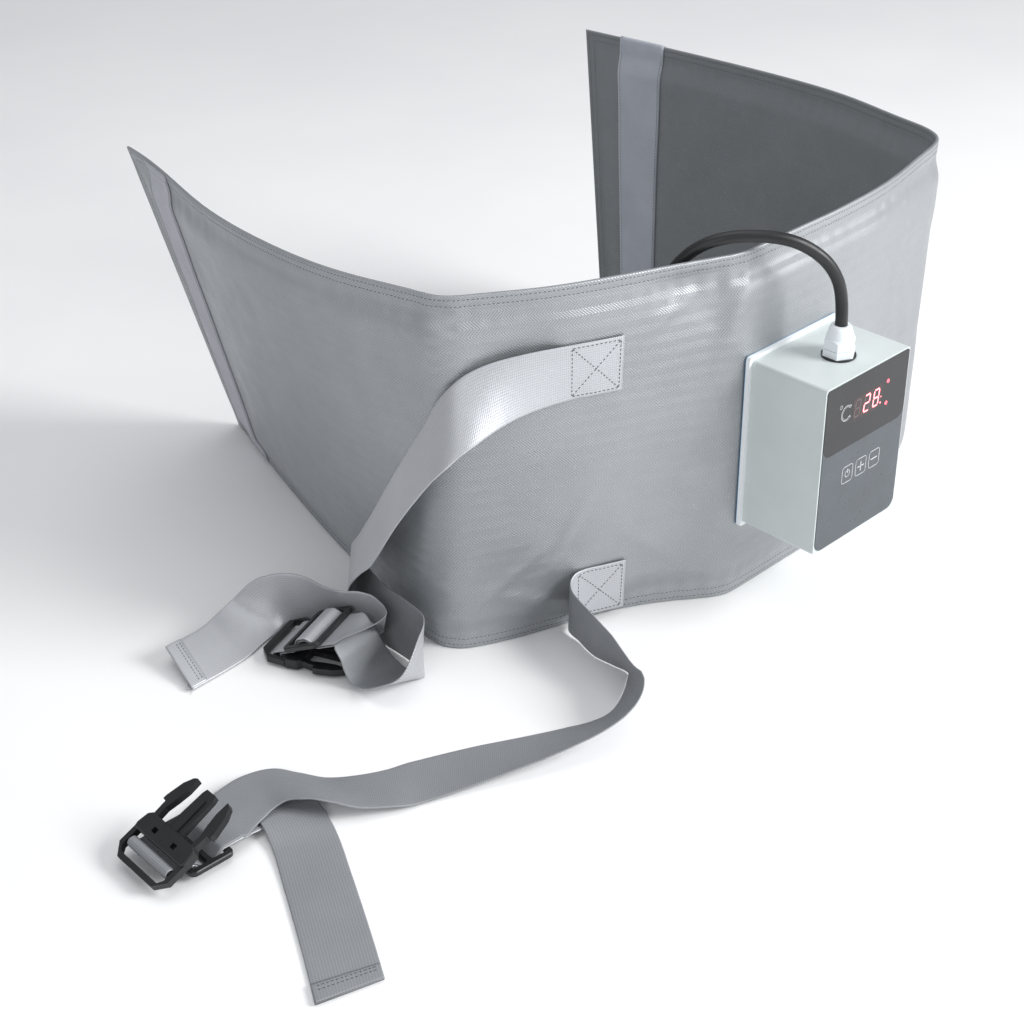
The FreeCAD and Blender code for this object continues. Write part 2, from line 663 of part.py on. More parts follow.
def heater_leads():
    """Two heater leads and the sensor lead, from the terminals to the felt."""
    x, z = lead_place()
    start = board_back() + 10.5
    end = PANEL_Y + HALF_BODY + wire_offset() * -1 - WIRE / 2 - 0.2
    leads = []
    for angle in (90, 210, 330):
        turn = math.radians(angle)
        place = Vector(x + 2.0 * math.cos(turn), start, z + 2.0 * math.sin(turn))
        leads.append(rod(1.2, end - start, place, Y))
    return Part.makeCompound(leads)


def board_back():
    return BOARD_FROM_FRONT + BOARD[2]


def circuit_board():
    width, height, thickness = BOARD
    middle_x, middle_z = lead_place()
    body = block(
        middle_x - width / 2, middle_x + width / 2, BOARD_FROM_FRONT, BOARD_FROM_FRONT + thickness,
        middle_z - height / 2, middle_z + height / 2,
    )
    return body.cut(Part.makeCompound([rod(1.5, 9, Vector(x, 8, z), Y) for x, z in board_screw_places()]))


def display_module():
    """Three digit display on the board, behind the window of the front."""
    width, height = DISPLAY
    x, z = DISPLAY_CENTRE
    half_width, half_height = width / 2 - DISPLAY_RIM, height / 2 - DISPLAY_RIM
    return block(
        x - half_width, x + half_width, WALL + 0.2, BOARD_FROM_FRONT - 0.05,
        z - half_height, z + half_height,
    )


def indicator_leds():
    lamps = []
    for x, z in LED_PLACES:
        dome = Part.makeSphere(LED_RADIUS, Vector(x, LED_RADIUS + 0.4, z))
        stem = rod(LED_RADIUS, BOARD_FROM_FRONT - 0.45 - LED_RADIUS, Vector(x, LED_RADIUS + 0.4, z), Y)
        flange = rod(LED_RADIUS + 0.4, 1.0, Vector(x, BOARD_FROM_FRONT - 1.05, z), Y)
        lamps.append(fused([dome, stem, flange]))
    return Part.makeCompound(lamps)


def switch_depths():
    """Front and back of the key switch bodies that sit on the board."""
    return BOARD_FROM_FRONT - 3.6, BOARD_FROM_FRONT - 0.05


def key_switches():
    """Bodies of the three key switches, each with a well that its key slides in."""
    front, back = switch_depths()
    bodies = []
    for x, z in KEY_PLACES.values():
        body = block(x - 3, x + 3, front, back, z - 3, z + 3)
        well = rod(KEY_RADIUS + 0.05, 2.2, Vector(x, front - 0.1, z), Y)
        bodies.append(body.cut(well))
    return Part.makeCompound(bodies)


def key(place):
    """Plunger from the switch's well to just behind the overlay."""
    x, z = place
    front, back = switch_depths()
    stem = rod(KEY_RADIUS, front + 1.6 - 0.3, Vector(x, 0.3, z), Y)
    return stem


def relay():
    middle_x, middle_z = lead_place()
    back = board_back()
    body = block(middle_x - 38, middle_x - 22, back + 0.05, back + 15.5, middle_z - 14, middle_z + 15)
    return body.makeFillet(0.8, body.Edges)


def terminal_block():
    """Screw terminals for the mains and heater wires."""
    middle_x, middle_z = lead_place()
    back = board_back() + 0.05
    body = block(middle_x - 16, middle_x + 16, back, back + 10, middle_z - 46, middle_z - 36)
    screws = [rod(1.8, 3, Vector(middle_x - 12 + 8 * k, back + 8, middle_z - 41), Y) for k in range(4)]
    return body.cut(Part.makeCompound(screws))


def front_overlay():
    """Printed film over the front of the case, with rounder corners at its foot."""
    x0, x1 = OVERLAY_EDGE, BOX_WIDTH - OVERLAY_EDGE
    z0, z1 = BOX_BOTTOM + OVERLAY_EDGE, BOX_BOTTOM + BOX_HEIGHT - OVERLAY_EDGE
    body = block(x0, x1, -OVERLAY, 0, z0, z1)
    across = [e for e in body.Edges if abs(e.tangentAt(e.FirstParameter).dot(Y)) > 0.9]
    foot = [e for e in across if e.CenterOfMass.z < (z0 + z1) / 2]
    body = body.makeFillet(OVERLAY_FOOT_RADIUS, foot)
    across = [e for e in body.Edges if abs(e.tangentAt(e.FirstParameter).dot(Y)) > 0.9]
    head = [e for e in across if e.CenterOfMass.z > z1 - 1]
    return body.makeFillet(OVERLAY_HEAD_RADIUS, head)


# Cable gland

def hexagon(across, low, high):
    """Prism with six flats, given the distance across two of them."""
    radius = across / math.sqrt(3)
    turns = [math.radians(30 + 60 * k) for k in range(6)]
    return prism([(radius * math.cos(turn), radius * math.sin(turn)) for turn in turns], low, high)


def at_gland(shape):
    shape.translate(Vector(GLAND_X, GLAND_Y, BOX_BOTTOM + BOX_HEIGHT))
    return shape


def gland_washer():
    ring = rod(GLAND_HEX / 2 + 2, 1.5, Vector(), Z)
    return at_gland(ring.cut(rod(GLAND_THREAD / 2 + 0.2, 3, Vector(0, 0, -1), Z)))


def gland_body():
    """Threaded body: hexagon on the washer, thread down through the case and up into the dome nut."""
    flats = hexagon(GLAND_HEX, 1.5, 1.5 + GLAND_COLLAR)
    bevel = 1.5 + GLAND_COLLAR - 2.0
    chamfer = Part.makeCone(GLAND_HEX / 2 + 3.2, GLAND_HEX / 2 - 0.2, 3.4, Vector(0, 0, bevel), Z)
    lower = rod(GLAND_HEX / 2 + 3, bevel - 1.5, Vector(0, 0, 1.5), Z)
    flats = flats.common(fused([lower, chamfer]))
    thread = rod(GLAND_THREAD / 2, 12, Vector(0, 0, -10), Z)
    neck = rod(8.2, 9, Vector(0, 0, 1.5 + GLAND_COLLAR - 1), Z)
    body = fused([flats, thread, neck])
    return at_gland(body.cut(rod(6.6, 40, Vector(0, 0, -15), Z)))


def gland_nut():
    """Dome nut: a hexagon that turns into a rounded cone with a hole for the cord."""
    low = 1.5 + GLAND_COLLAR + 0.3
    flats = hexagon(GLAND_HEX - 1.0, low, low + 9.0)
    shape = [
        (0, low - 1), (13.5, low - 1), (13.5, low + 6.0), (11.0, low + 9.5), (8.8, low + 17.0),
        (7.6, low + GLAND_DOME), (0, low + GLAND_DOME),
    ]
    edges = Part.makePolygon([Vector(r, 0, z) for r, z in shape + shape[:1]])
    turned = Part.Face(edges).revolve(Vector(), Z, 360)
    cone = turned.common(fused([flats, rod(10.8, GLAND_DOME, Vector(0, 0, low), Z)]))
    inside = fused([rod(8.5, 9.5, Vector(0, 0, low - 1), Z), rod(CORD / 2 + 0.15, 40, Vector(0, 0, low), Z)])
    return at_gland(cone.cut(inside))


def gland_seal():
    low = 1.5 + GLAND_COLLAR + 0.5
    ring = rod(6.4, 8.0, Vector(0, 0, low), Z)
    return at_gland(ring.cut(rod(CORD / 2 + 0.02, 12, Vector(0, 0, low - 1), Z)))


def gland_lock_nut():
    """Nut inside the case that holds the gland."""
    low = -WALL - 5.0
    nut = hexagon(GLAND_HEX, low, low + 4.9)
    return at_gland(nut.cut(rod(GLAND_THREAD / 2 + 0.03, 10, Vector(0, 0, low - 1), Z)))


# Power cord

def corner_arcs(points):
    """Arc at each inner point: start, middle, end and radius, as large as its two runs allow."""
    arcs = []
    for before, corner, after in zip(points, points[1:], points[2:]):
        back, ahead = before - corner, after - corner
        turn = math.pi - back.getAngle(ahead)
        cut = 0.45 * min(back.Length, ahead.Length)
        radius = cut / math.tan(turn / 2)
        back.normalize()
        ahead.normalize()
        inner = (back + ahead).normalize() * (radius / math.cos(turn / 2) - radius)
        arcs.append((corner + back * cut, corner + inner, corner + ahead * cut, radius))
    return arcs


def tube(points, diameter):
    arcs = corner_arcs(points)
    edges = []
    at = points[0]
    for start, middle, end, radius in arcs:
        edges.append(Part.LineSegment(at, start).toShape())
        edges.append(Part.Arc(start, middle, end).toShape())
        at = end
    edges.append(Part.LineSegment(at, points[-1]).toShape())
    path = Part.Wire(edges)
    ring = Part.Wire([Part.Circle(points[0], points[1] - points[0], diameter / 2).toShape()])
    solid = path.makePipeShell([ring], True, False)
    section = math.pi * diameter ** 2 / 4
    print("cord: length %.1f, radii %s" % (path.Length, [round(arc[3], 1) for arc in arcs]))
    print("cord: volume %.1f, section times length %.1f" % (solid.Volume, section * path.Length))
    return solid


def cord_points():
    return [vec(p) for p in CORD_ROUTE]


def power_cord():
    return tube(cord_points(), CORD)


def coil_centre():
    last = cord_points()[-1]
    ahead = (last - cord_points()[-2]).normalize()
    side = Vector(-ahead.y, ahead.x, 0).normalize()
    return last + side * (COIL_RADIUS + CORD / 2)


def power_cord_coil():
    """Outer shape of the neat round coil that the rest of the cord makes on the floor."""
    centre = coil_centre()
    half = CORD * COIL_TURNS_BESIDE / 2
    height = CORD * COIL_LAYERS
    inner, outer = COIL_RADIUS - half, COIL_RADIUS + half
    low, high = FLOOR_GAP, FLOOR_GAP + height
    corners = [(inner, low), (outer, low), (outer, high), (inner, high), (inner, low)]
    face = Part.Face(Part.makePolygon([Vector(r, 0, z) for r, z in corners]))
    return placed(face.revolve(Vector(), Z, 360), Vector(centre.x, centre.y, 0))


# Webbing

def path_edges(points, radii, off):
    """Edges of a flat path of straight runs and arcs, shifted sideways by off."""
    corners = [Vector(x, 0, z) for x, z in points]
    ways = [(b - a).normalize() for a, b in zip(corners, corners[1:])]
    lefts = [Vector(-w.z, 0, w.x) for w in ways]
    shifted = [corners[0] + lefts[0] * off]
    for i in range(1, len(corners) - 1):
        mitre = (lefts[i - 1] + lefts[i]).normalize()
        shifted.append(corners[i] + mitre * (off / mitre.dot(lefts[i])))
    shifted.append(corners[-1] + lefts[-1] * off)
    edges, at = [], shifted[0]
    for i in range(1, len(shifted) - 1):
        turn = ways[i - 1].getAngle(ways[i])
        left_turn = ways[i - 1].x * ways[i].z - ways[i - 1].z * ways[i].x > 0
        radius = radii[i - 1] - off if left_turn else radii[i - 1] + off
        cut = radius * math.tan(turn / 2)
        start, end = shifted[i] - ways[i - 1] * cut, shifted[i] + ways[i] * cut
        inner = (ways[i] - ways[i - 1]).normalize() * (radius / math.cos(turn / 2) - radius)
        edges.append(Part.LineSegment(at, start).toShape())
        edges.append(Part.Arc(start, shifted[i] + inner, end).toShape())
        at = end
    edges.append(Part.LineSegment(at, shifted[-1]).toShape())
    return edges


LEG = (WEBBING_THICKNESS + WEB_GAP) / 2
LEGS_AT_BAR = -2.9
SLIDER_PITCH = SLIDER_BAR + SLIDER_SLOT
SLIDER_END = SLIDER_START + SLIDER_BAR * 3 + SLIDER_SLOT * 2
SLIDER_THICKNESS = 4.4
LEGS_END = SLIDER_END + 6.0


def slider_levels():
    """Top and bottom of the slider's bars, which lie just under the two legs of the webbing."""
    top = LEGS_AT_BAR - LEG - WEBBING_THICKNESS / 2 - WEB_GAP
    return top - SLIDER_THICKNESS, top


def leg_points():
    """One leg of the webbing: from the web bar, over the slider's end bars and under its middle bar."""
    low = slider_levels()[0] - WEB_GAP - LEG - WEBBING_THICKNESS / 2
    start = SLIDER_START + SLIDER_BAR
    middle = SLIDER_START + SLIDER_PITCH
    rise = 1.6
    points = [
        (start + rise, LEGS_AT_BAR), (middle - rise, low), (middle + SLIDER_BAR + rise, low),
        (SLIDER_END - SLIDER_BAR - rise, LEGS_AT_BAR), (LEGS_END, LEGS_AT_BAR),
    ]
    return points


def loop_points():
    """Webbing at the web bar: in under the bar, up, over it and back below."""
    upper, lower = LEGS_AT_BAR + LEG, LEGS_AT_BAR - LEG
    front, back, top = WEB_BAR + 1.3, -WEB_BAR - 1.6, WEB_BAR + 1.1
    return [(LEG_START, upper), (front, upper), (front, top), (back, top), (back, lower), (LEG_START, lower)]


def traced(points, radii, off=0.0):
    """Points along a flat path in x and z with rounded corners, close together on its arcs."""
    traced_points = []
    for edge in path_edges(points, radii, off):
        straight = edge.Curve.TypeId == "Part::GeomLine"
        for point in edge.discretize(2 if straight else 6):
            if not traced_points or (point - traced_points[-1]).Length > SHORTEST_STEP:
                traced_points.append(point)
    return traced_points


def loop_stations():
    """Both legs and the loop between them, as points in the strap end's own frame."""
    leg = [(LEG_START, LEGS_AT_BAR)] + leg_points()
    incoming = traced(leg, [LEG_BEND] * 4, LEG)[::-1]
    around = traced(loop_points(), [1.6, 3.2, 3.5, 3.5])
    outgoing = traced(leg, [LEG_BEND] * 4, -LEG)
    return incoming + around[1:-1] + outgoing


def full_station(point, across, share=1.0):
    """Station with its direction at length one and its share of the width."""
    return vec(point), vec(across).normalize(), share


def eased(stations):
    """Adds stations between those of a free run, on a smooth curve through them."""
    points, ways, shares = zip(*[full_station(*station) for station in stations])
    full = []
    for i in range(len(points) - 1):
        span = (points[i + 1] - points[i]).Length
        before = points[max(i - 1, 0)]
        after = points[min(i + 2, len(points) - 1)]
        start = (points[i + 1] - before) * (span / max((points[i + 1] - before).Length, 0.1))
        end = (after - points[i]) * (span / max((after - points[i]).Length, 0.1))
        steps = max(1, min(MOST_STEPS, int(span / FREE_STEP)))
        for k in range(steps):
            t = k / steps
            ahead = 3 * t ** 2 - 2 * t ** 3
            middle = points[i] * (1 - ahead) + points[i + 1] * ahead
            middle += start * (t ** 3 - 2 * t ** 2 + t) + end * (t ** 3 - t ** 2)
            share = shares[i] * (1 - t) + shares[i + 1] * t
            full.append((middle, ways[i] * (1 - t) + ways[i + 1] * t, share))
    return full + [(points[-1], ways[-1], shares[-1])]


def ribbon(stations, most_slant=1.0):
    """Webbing through stations, lifted off the floor; its thickness is laid off square to its surface."""
    middles, ways, shares = zip(*[full_station(*station) for station in stations])
    last = len(middles) - 1
    edges = {-1: [], 1: []}
    for i, middle in enumerate(middles):
        along = middles[min(i + 1, last)] - middles[max(i - 1, 0)]
        slant = min(1 / math.sin(along.getAngle(ways[i])), most_slant)
        for a in edges:
            edges[a].append(middle + ways[i] * (WEBBING / 2 * a * slant * shares[i]))
    rails = {(a, b): [] for a in (-1, 1) for b in (-1, 1)}
    for i, across in enumerate(ways):
        corners = {}
        for a, edge in edges.items():
            along = edge[min(i + 1, last)] - edge[max(i - 1, 0)]
            normal = along.cross(across).normalize()
            for b in (-1, 1):
                corners[(a, b)] = edge[i] + normal * (WEBBING_THICKNESS / 2 * b * shares[i])
        sunk = max(0.0, FLOOR_GAP - min(corner.z for corner in corners.values()))
        for key, corner in corners.items():
            rails[key].append(corner + Z * sunk)
    return faceted_bar(rails)


class Fitting:
    """Place of a strap end: origin on the web bar, x along the legs, y along the bar, z to the buckle."""

    def __init__(self, origin, x, y):
        self.origin, self.x, self.y = origin, x, y
        self.z = x.cross(y)

    def point(self, x, y, z):
        return self.origin + self.x * x + self.y * y + self.z * z

    def placed(self, shape):
        x, y, z, o = self.x, self.y, self.z, self.origin
        matrix = Matrix(x.x, y.x, z.x, o.x, x.y, y.y, z.y, o.y, x.z, y.z, z.z, o.z, 0, 0, 0, 1)
        copy = shape.copy()
        copy.Placement = Placement(matrix).multiply(shape.Placement)
        return copy


def strap_end(origin, heading, rise, flipped):
    turn, lift = math.radians(heading), math.radians(rise)
    x = Vector(math.cos(turn) * math.cos(lift), math.sin(turn) * math.cos(lift), math.sin(lift))
    level = Vector(-math.sin(turn), math.cos(turn), 0)
    return Fitting(vec(origin), x, level * (-1 if flipped else 1))


UPPER_END = strap_end(UPPER_BAR, UPPER_HEADING, BUCKLE_TILT, True)
LOWER_END = strap_end(LOWER_BAR, LOWER_HEADING, 0, False)


def patch_stations(patch, side):
    """Stations of the webbing's sewn end on the front of the jacket, from its free edge to its fold."""
    first, last, height = patch
    off = HALF_BODY + SEWN_GAP + WEBBING_THICKNESS / 2
    stations = []
    for u in (first, (first + last) / 2, last):
        low, high = [jacket_point(u, height + step * WEBBING / 2, off) for step in (-1, 1)]
        stations.append(((low + high) / 2, (high - low) * side))
    return stations


def strap(patch, side, run, tail, fitting, across, most_slant):
    """Whole strap: sewn end, run to the buckle, both legs in the slider, loop round the bar and tail."""
    over = fitting.y * across
    legs = [(fitting.point(point.x, 0, point.z), over) for point in loop_stations()]
    lead = fitting.x * LEG_LEAD
    coming = eased(patch_stations(patch, side) + run + [(legs[0][0] + lead, over)])
    leaving = eased([(legs[-1][0] + lead, over)] + tail)
    return ribbon(coming + legs + leaving, most_slant)


def upper_strap():
    return strap(UPPER_PATCH, -1, UPPER_RUN, UPPER_TAIL, UPPER_END, UPPER_ACROSS, UPPER_SLANT)


def lower_strap():
    return strap(LOWER_PATCH, 1, LOWER_RUN, LOWER_TAIL, LOWER_END, LOWER_ACROSS, LOWER_SLANT)


# Buckles

def mirrored(points):
    return points + [(x, -y) for x, y in reversed(points)]


def male_buckle():
    """Male half of a side release buckle: web frame, body, guide and two sprung prongs, in one moulding."""
    half = BUCKLE_WIDTH / 2
    rail = half - 4.2
    start, end = BUCKLE_BODY_START, BUCKLE_BODY_END
    bar0, bar1 = BUCKLE_END_BAR
    outer = mirrored([(bar0, half - 9.0), (bar0 + 9.0, half), (start + 2, half)])
    frame = prism(outer, -BUCKLE_FRAME / 2, BUCKLE_FRAME / 2)
    frame = frame.cut(prism(mirrored([(bar1, rail - 3), (bar1 + 4, rail), (start, rail)]), -9, 9, 1.0))
    web_bar = rod(WEB_BAR, rail * 2 + 2, Vector(0, -rail - 1, 0), Y)
    body = prism(
        mirrored([(start, half - 1), (start + 4, half), (end - 3, half - 1.5), (end, half - 5)]),
        -BUCKLE_THICKNESS / 2, BUCKLE_THICKNESS / 2, 1.4,
    )
    edges = [e for e in body.Edges if abs(abs(e.CenterOfMass.z) - BUCKLE_THICKNESS / 2) < 0.01]
    body = body.makeChamfer(BUCKLE_EDGE, edges)
    window = prism([(start + 5, 9), (start + 9, 9), (start + 9, 14), (start + 5, 14)], -9, 9, 0.5)
    body = body.cut(fused([window, window.mirror(Vector(), Y)]))
    guide = prism(mirrored([(end - 2, 8.0), (PRONG_REACH - 6, 6.4), (PRONG_REACH - 2, 5.2)]), -2.4, 2.4, 0.8)
    rib = prism(mirrored([(end - 2, 3.0), (PRONG_REACH - 9, 2.4)]), -3.6, 3.6, 0.6)
    prongs = [prong(), prong().mirror(Vector(), Y)]
    return one_solid(fused([frame, web_bar, body, guide, rib] + prongs))


def prong():
    """Sprung arm with a leaf shaped head that catches in the socket's side window."""
    end, reach = BUCKLE_BODY_END, PRONG_REACH
    half = BUCKLE_WIDTH / 2
    return prism([
        (end - 3, half - 9.5), (end + 8, half - 9.0), (end + 17, half - 11.0), (end + 27, half - 12.5),
        (reach, half - 12.0), (reach - 2, half - 8.5), (reach - 9, half - 4.4), (end + 15, half - 1.0),
        (end + 11.5, half - 1.0), (end + 11.5, half - 4.2), (end - 3, half - 5.0),
    ], -PRONG_THICKNESS / 2, PRONG_THICKNESS / 2, 0.55)


def slider():
    """Flat slider with three bars and two slots for the webbing."""
    low, high = slider_levels()
    half = BUCKLE_WIDTH / 2
    body = prism(mirrored([(SLIDER_START, half), (SLIDER_END, half)]), low, high, 4.5)
    slot = WEBBING / 2 + 1.0
    for k in range(2):
        x0 = SLIDER_START + SLIDER_BAR + SLIDER_PITCH * k
        x1 = x0 + SLIDER_SLOT
        body = body.cut(prism([(x0, slot), (x1, slot), (x1, -slot), (x0, -slot)], low - 1, high + 1, 1.5))
    edges = [e for e in body.Edges if min(abs(e.CenterOfMass.z - level) for level in (low, high)) < 0.01]
    return body.makeChamfer(0.7, edges)


def socket_buckle():
    """Female half: a flat sleeve with a mouth, a window each side for the prongs, and a web bar."""
    half = BUCKLE_WIDTH / 2
    start = BUCKLE_BODY_START
    end = start + SOCKET_LENGTH
    thick = BUCKLE_THICKNESS / 2 + 1.0
    outer = mirrored([(start, half - 4), (start + 6, half), (end - 4, half), (end, half - 2)])
    body = prism(outer, -thick, thick, 1.2)
    edges = [e for e in body.Edges if abs(abs(e.CenterOfMass.z) - thick) < 0.01]
    body = body.makeChamfer(1.0, edges)
    room = PRONG_THICKNESS / 2 + PRONG_FIT
    side = half - SOCKET_WALL - PRONG_FIT
    mouth = block(start + 6, end + 1, -side, side, -room, room)
    windows = block(start + 12, start + 12 + SOCKET_WINDOW, -half - 1, half + 1, -room, room)
    rail = half - 4.2
    frame = prism(mirrored([(-4.5, half - 5), (start + 2, half)]), -BUCKLE_FRAME / 2, BUCKLE_FRAME / 2, 0.8)
    frame = frame.cut(block(-9, start, -rail, rail, -9, 9))
    web_bar = rod(WEB_BAR, rail * 2 + 2, Vector(0, -rail - 1, 0), Y)
    return one_solid(fused([body, frame, web_bar]).cut(fused([mouth, windows])))


def socket_place(name):
    """Place of a socket on the outer face of the back wing, its mouth towards the free end."""
    u, z = JACKET_LENGTH - SOCKET_FROM_END, SOCKET_HEIGHTS[name]
    along = (jacket_point(u + 20, z) - jacket_point(u - 60, z)).normalize()
    upward = (jacket_point(u, z + WEBBING / 2) - jacket_point(u, z - WEBBING / 2)).normalize()
    out = along.cross(upward).normalize()
    face = jacket_point(u, z, HALF_BODY)
    highest = 0.0
    for a in range(-7, 6):
        for b in (-1, 0, 1):
            point = jacket_point(u + a * 10, z + b * WEBBING / 2, HALF_BODY)
            highest = max(highest, (point - face).dot(out))
    return Fitting(face + out * (highest + TAB_LIFT + SEWN_GAP), along, out.cross(along))


def buckle_tab(name):
    """Webbing sewn to the wing that loops round the web bar of a socket."""
    ply = WEBBING_THICKNESS + WEB_GAP
    low = -TAB_LIFT + WEBBING_THICKNESS / 2
    around = WEB_BAR + WEB_GAP + WEBBING_THICKNESS / 2 + 0.1
    points = [
        (-TAB_LENGTH, low), (-9, low), (-2, -around), (around, -around), (around, around),
        (-around, around), (-9, low + ply), (-TAB_LENGTH, low + ply),
    ]
    radii = [4.0, 3.0, around - 0.1, around - 0.1, 2.4, 2.0]
    place = socket_place(name)
    return ribbon([(place.point(point.x, 0, point.z), place.y) for point in traced(points, radii)])


# Mains plug

def plug_place():
    """Start and direction of the plug beside the coil, where the cord leaves it."""
    centre = coil_centre()
    start = Vector(centre.x + COIL_RADIUS + CORD / 2, centre.y + PLUG_START, PLUG_RADIUS + FLOOR_GAP)
    return start, Y


def mains_plug():
    """Moulded plug with a tapered, ribbed strain relief."""
    reach = PLUG_RELIEF
    length = PLUG_RELIEF + PLUG_BODY
    neck = CORD / 2 + 1.2
    profile = [
        (0, 0), (neck, 0), (neck + 2.8, reach), (PLUG_RADIUS - 4, reach + 4),
        (PLUG_RADIUS, reach + 9), (PLUG_RADIUS, length - 2), (PLUG_RADIUS - 1.5, length), (0, length),
    ]
    edges = Part.makePolygon([Vector(r, a, 0) for r, a in profile + profile[:1]])
    body = Part.Face(edges).revolve(Vector(), Y, 360)
    grooves = []
    for k in range(RELIEF_GROOVES):
        y = 5 + k * 5.5
        start = Vector(0, y, 0)
        grooves.append(rod(PLUG_RADIUS, 2, start, Y).cut(rod(neck - 0.6 + y * 0.09, 2, start, Y)))
    flat = PLUG_RADIUS - 2.5
    for side in (-1, 1):
        x0, x1 = sorted((side * flat, side * (PLUG_RADIUS + 1)))
        grooves.append(block(x0, x1, reach + 12, length - 6, -7, 7))
    body = body.cut(Part.makeCompound(grooves + [pin(side) for side in (-1, 1)]))
    return placed(body, plug_place()[0])


def pin(side):
    length = PLUG_RELIEF + PLUG_BODY
    shank = rod(PIN_RADIUS, PIN_LENGTH + 12, Vector(side * PIN_SPACING / 2, length - 12, 0), Y)
    tip = [e for e in shank.Edges if abs(e.CenterOfMass.y - length - PIN_LENGTH) < 0.01]
    return shank.makeFillet(PIN_RADIUS * 0.6, tip)


def plug_pins():
    return Part.makeCompound([placed(pin(side), plug_place()[0]) for side in (-1, 1)])


NODES = {
    "outer_cloth": outer_cloth, "inner_cloth": inner_cloth, "insulation_felt": insulation_felt,
    "heating_wire": heating_wire, "temperature_sensor": temperature_sensor,
    "hook_tape": hook_tape, "loop_tape": loop_tape,
    "front_shell": front_shell, "rear_shell": rear_shell, "case_screws": case_screws,
    "board_screws": board_screws, "mount_screws": mount_screws, "mount_nuts": mount_nuts,
    "mounting_plate": mounting_plate, "plate_film": plate_film, "backing_plate": backing_plate,
    "lead_grommet": lead_grommet, "heater_leads": heater_leads, "circuit_board": circuit_board,
    "display_module": display_module, "indicator_leds": indicator_leds, "key_switches": key_switches,
    "relay": relay, "terminal_block": terminal_block, "front_overlay": front_overlay,
    "gland_washer": gland_washer, "gland_body": gland_body, "gland_nut": gland_nut,
    "gland_seal": gland_seal, "gland_lock_nut": gland_lock_nut,
    "power_cord": power_cord, "power_cord_coil": power_cord_coil,
    "mains_plug": mains_plug, "plug_pins": plug_pins,
    "upper_strap": upper_strap, "lower_strap": lower_strap,
    "upper_slider": lambda: UPPER_END.placed(slider()), "lower_slider": lambda: LOWER_END.placed(slider()),
    "upper_strap_buckle": lambda: UPPER_END.placed(tilted(male_buckle())),
    "lower_strap_buckle": lambda: LOWER_END.placed(tilted(male_buckle())),
    "upper_buckle_tab": lambda: buckle_tab("upper"), "lower_buckle_tab": lambda: buckle_tab("lower"),
    "upper_socket_buckle": lambda: socket_place("upper").placed(socket_buckle()),
    "lower_socket_buckle": lambda: socket_place("lower").placed(socket_buckle()),
}
NODES.update({name: lambda place=place: key(place) for name, place in KEY_PLACES.items()})
CORD_NODES = ("power_cord", "power_cord_coil", "mains_plug", "plug_pins")


def tilted(shape):
    """Buckle leaning back from the legs, about its web bar."""
    shape.rotate(Vector(), Y, -BUCKLE_TILT)
    return shape


def main():
    os.makedirs("parts", exist_ok=True)
    shapes = {name: make() for name, make in NODES.items()}
    box = FreeCAD.BoundBox()
    for name, shape in shapes.items():
        if name not in CORD_NODES:
            box.add(shape.BoundBox)
    shift = Vector(-box.Center.x, -box.Center.y, 0)
    print("size %.1f %.1f %.1f, lowest %.2f" % (box.XLength, box.YLength, box.ZLength, box.ZMin))
    print("origin at %.2f %.2f of the drawing" % (-shift.x, -shift.y))
    for name, shape in shapes.items():
        shape.translate(shift)
        shape.exportStep("parts/%s.step" % name)


if __name__ == "__main__":
    main()
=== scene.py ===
import cmath
import math

import bpy
import numpy as np
from mathutils import Matrix, Vector


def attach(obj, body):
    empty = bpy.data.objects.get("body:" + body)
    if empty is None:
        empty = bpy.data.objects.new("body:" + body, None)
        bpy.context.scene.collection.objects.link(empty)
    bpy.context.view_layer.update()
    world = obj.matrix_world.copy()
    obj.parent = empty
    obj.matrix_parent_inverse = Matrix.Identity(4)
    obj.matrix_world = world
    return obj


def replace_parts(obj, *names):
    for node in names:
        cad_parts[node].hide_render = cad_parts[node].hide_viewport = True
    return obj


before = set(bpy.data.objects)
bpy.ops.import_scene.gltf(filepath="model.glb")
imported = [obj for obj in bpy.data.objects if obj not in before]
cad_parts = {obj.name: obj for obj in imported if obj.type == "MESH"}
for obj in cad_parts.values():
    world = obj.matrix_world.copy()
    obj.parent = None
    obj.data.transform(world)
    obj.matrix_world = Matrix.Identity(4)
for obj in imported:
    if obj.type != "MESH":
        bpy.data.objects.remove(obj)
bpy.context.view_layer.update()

# Container heating belt. Routes and shapes are written in millimetres from the controller's lower front
# left corner on the floor, as in the part's source, and row() turns them into metres of the model's frame.

ORIGIN = np.array([104.197, -288.734, 0.0])


def row(points):
    return (np.asarray(points, float) + ORIGIN) / 1000


def unit(v):
    v = np.asarray(v, float)
    return v / np.maximum(np.linalg.norm(v, axis=-1, keepdims=True), 1e-12)


def add_object(name, data):
    """New object of the scene with the given mesh, curve, light or camera data."""
    thing = bpy.data.objects.new(name, data)
    bpy.context.scene.collection.objects.link(thing)
    return thing


# Camera, as fitted to the photo: place in metres, and its own axes

CAMERA_PLACE, LENS, SENSOR_WIDTH, FARTHEST = (-0.9390, -1.01253, 0.8869), 64.76, 36.0, 20.0
CAMERA_RIGHT, CAMERA_DOWN = (0.71162, -0.70249, -0.01042), (-0.37438, -0.36661, -0.85173)
CAMERA_AHEAD = (0.59451, 0.61, -0.52388)


def make_camera():
    data = bpy.data.cameras.new("camera")
    data.lens, data.sensor_width, data.clip_end = LENS, SENSOR_WIDTH, FARTHEST
    camera = add_object("camera", data)
    axes = Matrix((CAMERA_RIGHT, [-c for c in CAMERA_DOWN], [-c for c in CAMERA_AHEAD]))
    camera.matrix_world = Matrix.Translation(CAMERA_PLACE) @ axes.transposed().to_4x4()
    bpy.context.scene.camera = camera


# Materials

